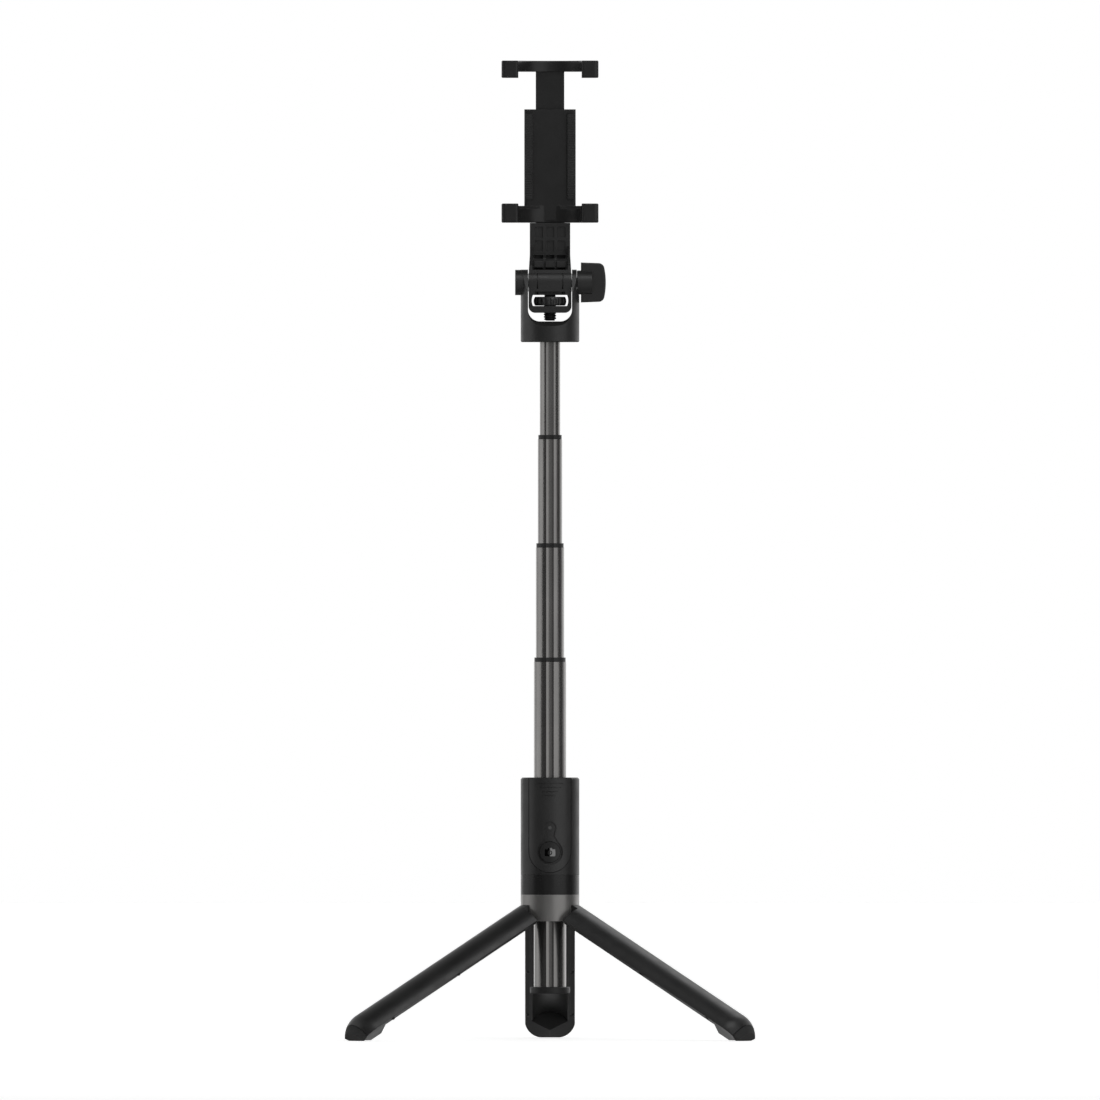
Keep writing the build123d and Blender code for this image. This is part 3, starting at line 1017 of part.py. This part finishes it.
with BuildPart() as clamp_body:
    jaw_block(JAW_LOW_BOTTOM, JAW_LOW_TOP)
    floor = PHONE_LOW - GRIP_PROUD
    plate(whole_jaw, (LIP_BACK_Y, JAW_SEAT_BACK_Y), (floor, JAW_LOW_TOP + 1), Mode.SUBTRACT)
    plate(jaw_middle, (0, JAW_BACK_Y + 1), (JAW_MIDDLE_LOW, JAW_LOW_TOP + 1), Mode.SUBTRACT)
    with BuildSketch(Plane.XY.offset(JAW_LOW_BOTTOM + SLEEVE_ROOT)) as sleeve:
        with Locations((0, (SLEEVE_FRONT_Y + COVER_Y) / 2)):
            Rectangle(2 * SLEEVE_HALF, COVER_Y - SLEEVE_FRONT_Y)
        fillet(sleeve.vertices().group_by(Axis.Y)[0], SLEEVE_CORNER_R)
    extrude(sleeve.sketch, amount=SLEEVE_TOP - JAW_LOW_BOTTOM - SLEEVE_ROOT)
    wide = (-CHANNEL_HALF, CHANNEL_HALF)
    plate(wide, (CHANNEL_FRONT_Y, COVER_Y), (CHANNEL_BOTTOM, CHANNEL_TOP), Mode.SUBTRACT)
    slot = (-TOP_SLOT_HALF, TOP_SLOT_HALF)
    plate(slot, (CHANNEL_FRONT_Y, COVER_Y), (CHANNEL_TOP, SLEEVE_TOP), Mode.SUBTRACT)
    tang_slot = (-TANG_HALF, TANG_HALF)
    plate(tang_slot, (TANG_FRONT_Y, NECK_BACK_Y), (JAW_LOW_BOTTOM - 1, CHANNEL_BOTTOM), Mode.SUBTRACT)
    for x_range in both_sides(GRIP_XS):
        plate(x_range, GRIP_YS, (PHONE_LOW - GRIP_THICK, JAW_LOW_TOP), Mode.SUBTRACT)
    neck_holes(NECK_SCREW_R + SKIN, NECK_BACK_Y, JAW_BACK_Y)
    neck_holes(NECK_SCREW_HEAD_R + SKIN, JAW_BACK_Y - SEAT - NECK_SCREW_HEAD, JAW_BACK_Y)
save(clamp_body, "clamp_body")

with BuildPart() as clamp_cover:
    with BuildSketch(Plane.XZ.offset(-COVER_Y)) as cover:
        with Locations((0, (JAW_LOW_TOP + SLEEVE_TOP) / 2)):
            RectangleRounded(2 * SLEEVE_HALF, SLEEVE_TOP - JAW_LOW_TOP, COVER_CORNER_R)
    extrude(cover.sketch, amount=-(JAW_BACK_Y - COVER_Y))
    chamfer(clamp_cover.edges().group_by(Axis.Y)[-1], COVER_EDGE)
save(clamp_cover, "clamp_cover")

with BuildPart() as clamp_slide:
    jaw_block(JAW_HIGH_BOTTOM, JAW_HIGH_TOP)
    ceiling = PHONE_HIGH + GRIP_PROUD
    plate(whole_jaw, (LIP_BACK_Y, JAW_SEAT_BACK_Y), (JAW_HIGH_BOTTOM - 1, ceiling), Mode.SUBTRACT)
    plate(jaw_middle, (0, JAW_BACK_Y + 1), (JAW_HIGH_BOTTOM - 1, JAW_MIDDLE_HIGH), Mode.SUBTRACT)
    plate((-TONGUE_HALF, TONGUE_HALF), TONGUE_Y, (TONGUE_BOTTOM, JAW_MIDDLE_HIGH + 1))
    plate((-LUG_HALF, LUG_HALF), TONGUE_Y, (TONGUE_BOTTOM, TONGUE_BOTTOM + LUG_HEIGHT))
    for x_range in both_sides(GRIP_XS):
        plate(x_range, GRIP_YS, (JAW_HIGH_BOTTOM, PHONE_HIGH + GRIP_THICK), Mode.SUBTRACT)
save(clamp_slide, "clamp_slide")

with BuildPart() as grip_pads_lower:
    for x_range in both_sides(GRIP_XS):
        plate(x_range, GRIP_YS, (PHONE_LOW - GRIP_THICK, PHONE_LOW))
save(grip_pads_lower, "grip_pads_lower")

with BuildPart() as grip_pads_upper:
    for x_range in both_sides(GRIP_XS):
        plate(x_range, GRIP_YS, (PHONE_HIGH, PHONE_HIGH + GRIP_THICK))
save(grip_pads_upper, "grip_pads_upper")

with BuildPart() as back_strips:
    for x_range in both_sides(STRIP_XS):
        heights = (JAW_LOW_TOP + STRIP_MARGIN, SLEEVE_TOP - STRIP_MARGIN)
        plate(x_range, (SLEEVE_FRONT_Y - STRIP_PROUD, SLEEVE_FRONT_Y), heights)
    chamfer(back_strips.edges().group_by(Axis.Y)[0], STRIP_EDGE)
save(back_strips, "back_strips")

with BuildPart() as clamp_springs:
    with BuildSketch(Plane.XY.offset(CHANNEL_TOP - SPRING_LENGTH)) as spring:
        with Locations((-SPRING_X, SPRING_Y), (SPRING_X, SPRING_Y)):
            Circle(SPRING_R)
            Circle(SPRING_R - SPRING_WIRE, mode=Mode.SUBTRACT)
    extrude(spring.sketch, amount=SPRING_LENGTH)
save(clamp_springs, "clamp_springs")

with BuildPart() as neck_screws:
    for x in (-NECK_SCREW_X, NECK_SCREW_X):
        seat = Plane(origin=(x, JAW_BACK_Y - SEAT, NECK_SCREW_Z), x_dir=(1, 0, 0), z_dir=(0, -1, 0))
        machine_screw(seat, NECK_SCREW_R, NECK_SCREW_LENGTH, NECK_SCREW_HEAD_R, NECK_SCREW_HEAD)
save(neck_screws, "neck_screws")
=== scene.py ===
import json
from math import cos, pi, radians, sin

import bmesh
import bpy
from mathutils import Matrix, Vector


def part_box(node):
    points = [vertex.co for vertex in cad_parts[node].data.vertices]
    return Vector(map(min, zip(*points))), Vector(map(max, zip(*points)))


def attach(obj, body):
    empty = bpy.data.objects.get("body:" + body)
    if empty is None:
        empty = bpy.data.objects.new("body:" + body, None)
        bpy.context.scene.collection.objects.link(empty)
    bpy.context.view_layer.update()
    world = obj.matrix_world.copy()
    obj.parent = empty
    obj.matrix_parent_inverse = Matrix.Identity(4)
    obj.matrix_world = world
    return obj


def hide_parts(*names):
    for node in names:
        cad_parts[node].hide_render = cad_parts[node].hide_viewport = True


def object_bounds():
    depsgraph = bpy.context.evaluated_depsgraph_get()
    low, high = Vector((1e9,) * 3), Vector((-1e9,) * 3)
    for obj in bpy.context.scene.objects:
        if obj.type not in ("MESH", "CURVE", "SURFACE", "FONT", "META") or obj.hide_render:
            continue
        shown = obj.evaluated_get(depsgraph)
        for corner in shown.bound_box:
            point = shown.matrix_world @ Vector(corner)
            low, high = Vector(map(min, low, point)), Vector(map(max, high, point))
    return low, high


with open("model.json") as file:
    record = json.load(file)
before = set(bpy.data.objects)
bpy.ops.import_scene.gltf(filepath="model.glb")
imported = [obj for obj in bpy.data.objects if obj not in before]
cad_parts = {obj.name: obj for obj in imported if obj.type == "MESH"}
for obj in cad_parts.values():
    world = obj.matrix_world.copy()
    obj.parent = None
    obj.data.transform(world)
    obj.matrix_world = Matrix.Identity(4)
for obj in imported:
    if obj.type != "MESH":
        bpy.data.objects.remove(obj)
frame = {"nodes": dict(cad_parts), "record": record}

cad_box = [list(corner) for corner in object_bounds()]
nodes = frame["nodes"]
slot_of = {entry["node"]: entry["material_slot"] for entry in frame["record"]["subparts"]}
MM = 0.001
BLACK = (0, 0, 0, 1)
WHITE = (1, 1, 1, 1)


# ---- Materials ---------------------------------------------------------------------------


PATCH_SCALE, SMUDGE_SCALE = 55, 150  # noise scales of the slow variation in colour and in roughness
COAT_ROUGHNESS = 0.12
GRAIN_STRENGTH, RIDGE_STRENGTH = 0.35, 0.8
EDGE_SAMPLES = 4


def mix_colour(tree, factor, first, second):
    """A colour that goes from first to second with the factor socket."""
    mix = tree.nodes.new("ShaderNodeMix")
    mix.data_type = "RGBA"
    mix.inputs["A"].default_value = (*first, 1)
    mix.inputs["B"].default_value = (*second, 1)
    tree.links.new(factor, mix.inputs["Factor"])
    return mix.outputs["Result"]


def noise(tree, scale, stretch=(1, 1, 1), detail=2.0):
    """A noise value laid out in the object's own metres, stretched along any axis."""
    place = tree.nodes.new("ShaderNodeTexCoord")
    mapping = tree.nodes.new("ShaderNodeMapping")
    mapping.inputs["Scale"].default_value = stretch
    tree.links.new(place.outputs["Object"], mapping.inputs["Vector"])
    texture = tree.nodes.new("ShaderNodeTexNoise")
    texture.inputs["Scale"].default_value = scale
    texture.inputs["Detail"].default_value = detail
    tree.links.new(mapping.outputs["Vector"], texture.inputs["Vector"])
    return texture.outputs["Fac"]


def spread(tree, value, low, high):
    """The middle of a noise value's range, mapped to low..high."""
    remap = tree.nodes.new("ShaderNodeMapRange")
    remap.inputs["From Min"].default_value = 0.3
    remap.inputs["From Max"].default_value = 0.7
    remap.inputs["To Min"].default_value = low
    remap.inputs["To Max"].default_value = high
    tree.links.new(value, remap.inputs["Value"])
    return remap.outputs["Result"]


def ridges(tree, direction, pitch):
    """Even parallel ridges across one axis, pitch metres apart."""
    waves_at_scale_one = 20 / (2 * pi)
    place = tree.nodes.new("ShaderNodeTexCoord")
    wave = tree.nodes.new("ShaderNodeTexWave")
    wave.bands_direction = direction
    wave.inputs["Scale"].default_value = 1 / (waves_at_scale_one * pitch)
    tree.links.new(place.outputs["Object"], wave.inputs["Vector"])
    return wave.outputs["Fac"]


def painted_reflection_dark_left_half(tree, colour):
    """The colour socket on the +X side of the middle plane, and black on the -X side. The black half is a
    painted dark reflection.
    """
    half_blend = 0.25 * MM
    place = tree.nodes.new("ShaderNodeTexCoord")
    parts = tree.nodes.new("ShaderNodeSeparateXYZ")
    tree.links.new(place.outputs["Object"], parts.inputs["Vector"])
    side = tree.nodes.new("ShaderNodeMapRange")
    side.inputs["From Min"].default_value = -half_blend
    side.inputs["From Max"].default_value = half_blend
    tree.links.new(parts.outputs["X"], side.inputs["Value"])
    mix = tree.nodes.new("ShaderNodeMix")
    mix.data_type = "RGBA"
    mix.inputs["A"].default_value = BLACK
    tree.links.new(colour, mix.inputs["B"])
    tree.links.new(side.outputs["Result"], mix.inputs["Factor"])
    return mix.outputs["Result"]


def finish_of(name, colour, roughness, metallic=0.0, specular=0.5, grain=2600, depth=0.03, **more):
    """A moulded, painted or metal surface.

    colour is a pair, the darker and lighter ends of its slow variation. roughness is its range. grain is
    the fine texture's scale, and depth its height in millimetres. more may hold stretch for drawn metal,
    patch for another scale of the variation in colour, edge for the radius in millimetres that sharp edges
    are softened by, dark_left for a painted dark reflection that blackens a sign's -X half, coat for a
    clear coat's weight, and ridge for (axis, pitch, height) in millimetres.
    """
    made = bpy.data.materials.new(name)
    made.use_nodes = True
    tree = made.node_tree
    shader = tree.nodes["Principled BSDF"]
    shader.inputs["Metallic"].default_value = metallic
    shader.inputs["Specular IOR Level"].default_value = specular
    if more.get("coat"):
        shader.inputs["Coat Weight"].default_value = more["coat"]
        shader.inputs["Coat Roughness"].default_value = COAT_ROUGHNESS
    stretch = more.get("stretch", (1, 1, 1))
    slow = noise(tree, more.get("patch", PATCH_SCALE), detail=3)
    tint = mix_colour(tree, spread(tree, slow, 0, 1), *colour)
    # Painted dark reflection: black over the sign's -X half.
    if more.get("dark_left"):
        tint = painted_reflection_dark_left_half(tree, tint)
    tree.links.new(tint, shader.inputs["Base Color"])
    smudges = noise(tree, SMUDGE_SCALE, stretch, detail=4)
    tree.links.new(spread(tree, smudges, *roughness), shader.inputs["Roughness"])
    bump = tree.nodes.new("ShaderNodeBump")
    bump.inputs["Strength"].default_value = GRAIN_STRENGTH
    bump.inputs["Distance"].default_value = depth * MM
    tree.links.new(noise(tree, grain, stretch, detail=3), bump.inputs["Height"])
    normal = bump
    if more.get("ridge"):
        direction, pitch, height = more["ridge"]
        normal = tree.nodes.new("ShaderNodeBump")
        normal.inputs["Strength"].default_value = RIDGE_STRENGTH
        normal.inputs["Distance"].default_value = height * MM
        tree.links.new(ridges(tree, direction, pitch * MM), normal.inputs["Height"])
        tree.links.new(bump.outputs["Normal"], normal.inputs["Normal"])
    if more.get("edge"):
        soft = tree.nodes.new("ShaderNodeBevel")
        soft.samples = EDGE_SAMPLES
        soft.inputs["Radius"].default_value = more["edge"] * MM
        tree.links.new(soft.outputs["Normal"], bump.inputs["Normal"])
    tree.links.new(normal.outputs["Normal"], shader.inputs["Normal"])
    return made


def grey(low, high, warm=0.0):
    """A darker and a lighter grey, with a little more red than blue where warm is above zero."""
    return [(v * (1 + warm), v, v * (1 - warm)) for v in (low, high)]


drawn = (1, 1, 0.012)  # stretches the grain along the tubes
board_green = [(0.008, 0.09, 0.035), (0.012, 0.13, 0.05)]
look = {
    "mast_metal": finish_of(
        "mast_metal", grey(0.36, 0.40, 0.022), (0.20, 0.30), 1.0, grain=5200, depth=0.012, stretch=drawn
    ),
    "hub_metal": finish_of(
        "hub_metal", grey(0.30, 0.34, 0.02), (0.30, 0.40), 0.9, grain=4200, depth=0.015, edge=0.25
    ),
    "handle_core_metal": finish_of(
        "handle_core_metal", grey(0.50, 0.58), (0.25, 0.36), 1.0, grain=5200, depth=0.012, stretch=drawn
    ),
    "handle_plastic": finish_of(
        "handle_plastic", grey(0.009, 0.012), (0.34, 0.44), depth=0.03, edge=0.25, specular=0.65
    ),
    "band_plastic": finish_of(
        "band_plastic", grey(0.006, 0.009), (0.24, 0.34), grain=3600, depth=0.012, edge=0.2, patch=80
    ),
    "mast_plastic": finish_of("mast_plastic", grey(0.012, 0.016), (0.40, 0.5), depth=0.03, edge=0.15),
    "inner_plastic": finish_of("inner_plastic", grey(0.46, 0.54), (0.45, 0.55), depth=0.03),
    "head_plastic": finish_of(
        "head_plastic", grey(0.011, 0.015), (0.36, 0.46), grain=2400, depth=0.04, edge=0.3, specular=0.75
    ),
    "clamp_plastic": finish_of(
        "clamp_plastic", grey(0.009, 0.012), (0.30, 0.40), grain=2400, depth=0.03, edge=0.8, specular=0.6
    ),
    "remote_plastic": finish_of(
        "remote_plastic", grey(0.012, 0.016), (0.36, 0.46), depth=0.03, edge=0.2, specular=0.75
    ),
    "button_plastic": finish_of("button_plastic", grey(0.010, 0.014), (0.30, 0.40), depth=0.02, edge=0.2),
    "switch_plastic": finish_of("switch_plastic", grey(0.04, 0.06), (0.4, 0.5)),
    "leg_shell": finish_of(
        "leg_shell", grey(0.009, 0.013), (0.32, 0.42), grain=3200, depth=0.025, edge=0.25, specular=0.6
    ),
    "leg_lining": finish_of(
        "leg_lining", grey(0.007, 0.010), (0.4, 0.5), depth=0.03, edge=0.4, specular=0.8
    ),
    "foot_rubber": finish_of(
        "foot_rubber", grey(0.017, 0.024), (0.6, 0.75), grain=1500, depth=0.07, specular=0.35, edge=0.3
    ),
    "grip_rubber": finish_of(
        "grip_rubber", grey(0.014, 0.02), (0.62, 0.78), grain=1700, depth=0.05, ridge=("Z", 1.2, 0.25)
    ),
    "steel": finish_of("steel", grey(0.50, 0.58), (0.22, 0.34), 1.0, grain=4200, depth=0.01),
    "black_steel": finish_of(
        "black_steel", grey(0.022, 0.03), (0.28, 0.4), 0.6, grain=4200, depth=0.015, edge=0.15
    ),
    "circuit_board": finish_of(
        "circuit_board", board_green, (0.25, 0.4), grain=900, depth=0.02, coat=0.5
    ),
    "cell_steel": finish_of("cell_steel", grey(0.48, 0.56), (0.25, 0.35), 1.0, grain=4000, depth=0.01),
    "light_lens": finish_of("light_lens", grey(0.05, 0.07), (0.3, 0.4), coat=0.3),
    # The button's sign: grey print whose -X half is black, a painted dark reflection.
    "button_mark": finish_of(
        "button_mark", grey(0.17, 0.21), (0.3, 0.4), grain=3000, depth=0.006, specular=0.1, dark_left=True
    ),
}
for name, node in nodes.items():
    node.data.materials.clear()
    node.data.materials.append(look[slot_of[name]])


# ---- Pieces built here -------------------------------------------------------------------


def new_piece(name, mesh, node, body):
    """Put a finished bmesh in the scene in place of a CAD node, riding on its body."""
    data = bpy.data.meshes.new(name)
    mesh.to_mesh(data)
    mesh.free()
    data.materials.append(look[slot_of[node]])
    data.shade_smooth()
    piece = bpy.data.objects.new(name, data)
    bpy.context.scene.collection.objects.link(piece)
    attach(piece, body)
    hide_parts(node)


def skin(mesh, rings):
    """Join rings of vertices into a closed skin with flat ends."""
    count = len(rings[0])
    for lower, upper in zip(rings, rings[1:]):
        for i in range(count):
            j = (i + 1) % count
            mesh.faces.new((lower[i], lower[j], upper[j], upper[i]))
    mesh.faces.new(list(reversed(rings[0])))
    mesh.faces.new(rings[-1])


THREAD_PITCH, THREAD_DEPTH, THREAD_LENGTH = 1.27 * MM, 0.62 * MM, 3.8 * MM
THREAD_FLANK = 2.6  # how fast a thread rises from root to crest, over one pitch
TIP_TAPER, TIP_SCALE = 0.8 * MM, 0.72
SCREW_NECK_R, SCREW_JOURNAL_R = 3.0 * MM, 2.8 * MM
SCREW_SIDES, RINGS_PER_TURN = 72, 14


def threaded_screw():
    """The camera screw: a 20-to-the-inch thread with a tapered tip, then a neck and a journal."""
    low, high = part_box("camera_screw")
    wheel_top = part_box("camera_wheel")[1].z
    outer = (high.x - low.x) / 2
    thread_end = low.z + THREAD_LENGTH
    mesh = bmesh.new()
    rings = []
    z = low.z
    while z < thread_end:
        ring = []
        for i in range(SCREW_SIDES):
            angle = 2 * pi * i / SCREW_SIDES
            phase = ((z - low.z) / THREAD_PITCH - i / SCREW_SIDES) % 1.0
            crest = min(1.0, abs(phase - 0.5) * THREAD_FLANK)
            tip = min(1.0, TIP_SCALE + (1 - TIP_SCALE) * (z - low.z) / TIP_TAPER)
            radius = (outer - THREAD_DEPTH * (1 - crest)) * tip
            ring.append(mesh.verts.new((radius * cos(angle), radius * sin(angle), z)))
        rings.append(ring)
        z += THREAD_PITCH / RINGS_PER_TURN
    shoulders = [
        (outer, thread_end),
        (SCREW_NECK_R, thread_end),
        (SCREW_NECK_R, wheel_top),
        (SCREW_JOURNAL_R, wheel_top),
        (SCREW_JOURNAL_R, high.z),
    ]
    for radius, height in shoulders:
        ring = []
        for i in range(SCREW_SIDES):
            angle = 2 * pi * i / SCREW_SIDES
            ring.append(mesh.verts.new((radius * cos(angle), radius * sin(angle), height)))
        rings.append(ring)
    skin(mesh, rings)
    new_piece("camera_screw_threaded", mesh, "camera_screw", "camera_screw")


WIRE_R = 0.17 * MM
COIL_TURNS, STEPS_PER_TURN, WIRE_SIDES = 17, 20, 8
END_TURN_CLOSENESS = 0.25  # how much closer the coils lie towards each end


def coil_springs():
    """The clamp's two springs, as wire helices whose end turns lie closer together."""
    low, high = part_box("clamp_springs")
    outer = (high.y - low.y) / 2
    mean = outer - WIRE_R
    middle_y = (low.y + high.y) / 2
    steps = COIL_TURNS * STEPS_PER_TURN
    mesh = bmesh.new()
    for centre_x in (low.x + outer, high.x - outer):
        rings = []
        for k in range(steps + 1):
            along = k / steps
            eased = along - END_TURN_CLOSENESS * sin(2 * pi * along) / (2 * pi)
            angle = 2 * pi * k / STEPS_PER_TURN
            z = low.z + WIRE_R + (high.z - low.z - 2 * WIRE_R) * eased
            out = Vector((cos(angle), sin(angle), 0))
            centre = Vector((centre_x, middle_y, z)) + out * mean
            ring = []
            for side in range(WIRE_SIDES):
                turn = 2 * pi * side / WIRE_SIDES
                round_wire = out * WIRE_R * cos(turn) + Vector((0, 0, WIRE_R * sin(turn)))
                ring.append(mesh.verts.new(centre + round_wire))
            rings.append(ring)
        skin(mesh, rings)
    new_piece("clamp_spring_coils", mesh, "clamp_springs", "head")


threaded_screw()
coil_springs()


# ---- Floor, light and camera ---------------------------------------------------------------

FLOOR_R, FLOOR_DROP, FLOOR_SIDES = 9.0, 0.05 * MM, 96
FLOOR_WHITE, FLOOR_MOTTLE, FLOOR_GLOW, FLOOR_ROUGHNESS = 0.8, 0.985, 0.68, 0.7
PANEL_R, PANEL_STEPS = 1.6, 8


def floor_material():
    """A plain matt white with a faint mottle. Its own glow keeps the backdrop even."""
    made = bpy.data.materials.new("floor_white")
    made.use_nodes = True
    tree = made.node_tree
    shader = tree.nodes["Principled BSDF"]
    shader.inputs["Roughness"].default_value = FLOOR_ROUGHNESS
    shader.inputs["Emission Color"].default_value = WHITE
    shader.inputs["Emission Strength"].default_value = FLOOR_GLOW
    mottle = spread(tree, noise(tree, 9), 0, 1)
    paler, darker = (FLOOR_WHITE,) * 3, (FLOOR_WHITE * FLOOR_MOTTLE,) * 3
    tree.links.new(mix_colour(tree, mottle, darker, paler), shader.inputs["Base Color"])
    return made


def round_floor():
    """A wide round floor just under the feet. Reflections look through it to the studio's dark below."""
    mesh = bmesh.new()
    bmesh.ops.create_circle(mesh, cap_ends=True, segments=FLOOR_SIDES, radius=FLOOR_R)
    data = bpy.data.meshes.new("floor")
    mesh.to_mesh(data)
    mesh.free()
    data.materials.append(floor_material())
    floor = bpy.data.objects.new("floor", data)
    floor.location.z = cad_box[0][2] - FLOOR_DROP
    floor.visible_glossy = False
    bpy.context.scene.collection.objects.link(floor)


def stage_panel(name, mesh, strength):
    """Put a glowing sheet in the studio that the camera does not see."""
    data = bpy.data.meshes.new(name)
    mesh.to_mesh(data)
    mesh.free()
    made = bpy.data.materials.new(name)
    made.use_nodes = True
    shader = made.node_tree.nodes["Principled BSDF"]
    shader.inputs["Base Color"].default_value = BLACK
    shader.inputs["Specular IOR Level"].default_value = 0
    shader.inputs["Roughness"].default_value = 1
    shader.inputs["Emission Color"].default_value = WHITE
    shader.inputs["Emission Strength"].default_value = strength
    data.materials.append(made)
    panel = bpy.data.objects.new(name, data)
    panel.visible_camera = False
    panel.visible_shadow = False
    bpy.context.scene.collection.objects.link(panel)


def studio_panel(index, start, end, low, high, strength):
    """An upright curved panel round the stand, from one bearing to another in degrees.

    A bearing is 0 straight in front, on the -Y side, and 90 on the +X side.
    """
    mesh = bmesh.new()
    edge = []
    for k in range(PANEL_STEPS + 1):
        bearing = radians(start + (end - start) * k / PANEL_STEPS)
        x, y = PANEL_R * sin(bearing), -PANEL_R * cos(bearing)
        edge.append((mesh.verts.new((x, y, low)), mesh.verts.new((x, y, high))))
    for (a, b), (c, d) in zip(edge, edge[1:]):
        mesh.faces.new((a, c, d, b))
    stage_panel(f"panel_{index}", mesh, strength)


def floor_glow(half_width, front, back, depth, strength):
    """The patch of pale floor that the back leg's open side mirrors, laid below the floor itself."""
    mesh = bmesh.new()
    corners = [(-half_width, front), (half_width, front), (half_width, back), (-half_width, back)]
    mesh.faces.new([mesh.verts.new((x, y, -depth)) for x, y in corners])
    stage_panel("floor_glow", mesh, strength)


round_floor()
# Each panel's first and last bearing, its lower and upper height in metres, and its strength
panels = [
    (-140, -112, -0.7, 1.6, 0.45),
    (-112, -94, -0.7, 1.6, 0.62),
    (-94, -68, -0.05, 1.6, 0.62),
    (-94, -68, -0.9, -0.05, 0.06),
    (-68, -22, -0.9, 1.6, 0.05),
    (-22, 14, -0.7, 1.6, 0.17),
    (14, 66, -0.7, 1.6, 0.55),
    (66, 106, -0.9, 1.6, 0.04),
    (106, 124, -0.7, 1.6, 0.45),
]
for index, panel in enumerate(panels):
    studio_panel(index, *panel)
floor_glow(half_width=0.05, front=0.08, back=0.24, depth=0.1, strength=0.8)


def soft_light(name, place, target, size, power):
    """A rectangular soft light aimed at a point."""
    light = bpy.data.lights.new(name, "AREA")
    light.shape = "RECTANGLE"
    light.size, light.size_y = size
    light.energy = power
    lamp = bpy.data.objects.new(name, light)
    lamp.location = place
    aim = Vector(target) - Vector(place)
    lamp.rotation_mode = "QUATERNION"
    lamp.rotation_quaternion = aim.to_track_quat("-Z", "Y")
    bpy.context.scene.collection.objects.link(lamp)
    return lamp


soft_light("above", (0.47, -0.89, 1.61), (0, 0, 0.2), (1.1, 0.75), 4.2).visible_diffuse = False
soft_light("rim", (0.58, 1.15, 1.45), (0, 0, 0.2), (0.8, 1.0), 3.0).visible_diffuse = False
soft_light("fill", (0.9, -1.9, 0.7), (0, 0, 0.25), (0.6, 0.6), 12).visible_glossy = False

# The world's grey at each height: the sine of a direction's elevation, then the grey there
SKY_LEVELS = [(-1.0, 0.08), (-0.2, 0.12), (-0.06, 1.0), (0.3, 1.0), (0.5, 0.35), (0.85, 0.25), (0.93, 0.04)]


def studio_world():
    """A world that is white at the horizon and dark overhead and underfoot."""
    world = bpy.data.worlds.new("studio")
    world.use_nodes = True
    sky = world.node_tree
    direction = sky.nodes.new("ShaderNodeTexCoord")
    parts = sky.nodes.new("ShaderNodeSeparateXYZ")
    sky.links.new(direction.outputs["Generated"], parts.inputs["Vector"])
    height = sky.nodes.new("ShaderNodeMapRange")
    height.inputs["From Min"].default_value = -1
    height.inputs["From Max"].default_value = 1
    sky.links.new(parts.outputs["Z"], height.inputs["Value"])
    bands = sky.nodes.new("ShaderNodeValToRGB")
    sky.links.new(height.outputs["Result"], bands.inputs["Fac"])
    stops = bands.color_ramp.elements
    while len(stops) < len(SKY_LEVELS):
        stops.new(1)
    for stop, (sine, level) in zip(stops, SKY_LEVELS):
        stop.position = (sine + 1) / 2
        stop.color = (level, level, level, 1)
    sky.links.new(bands.outputs["Color"], sky.nodes["Background"].inputs["Color"])
    return world


scene = bpy.context.scene
scene.world = studio_world()
scene.view_settings.view_transform = "Standard"

FRAME_WIDTH = 0.5555  # metres across the picture at the stand's axis
LENS, SENSOR = 1500, 36  # millimetres
CAMERA_HEIGHT = 0.2473
CLIP_NEAR, CLIP_FAR = 4, 12  # how far in front of the stand and behind it the camera sees
distance = FRAME_WIDTH * LENS / SENSOR
camera_data = bpy.data.cameras.new("camera")
camera_data.lens = LENS
camera_data.sensor_width = SENSOR
camera_data.clip_start, camera_data.clip_end = distance - CLIP_NEAR, distance + CLIP_FAR
camera = bpy.data.objects.new("camera", camera_data)
camera.location = (0, -distance, CAMERA_HEIGHT)
camera.rotation_euler = (pi / 2, 0, 0)
scene.collection.objects.link(camera)
scene.camera = camera
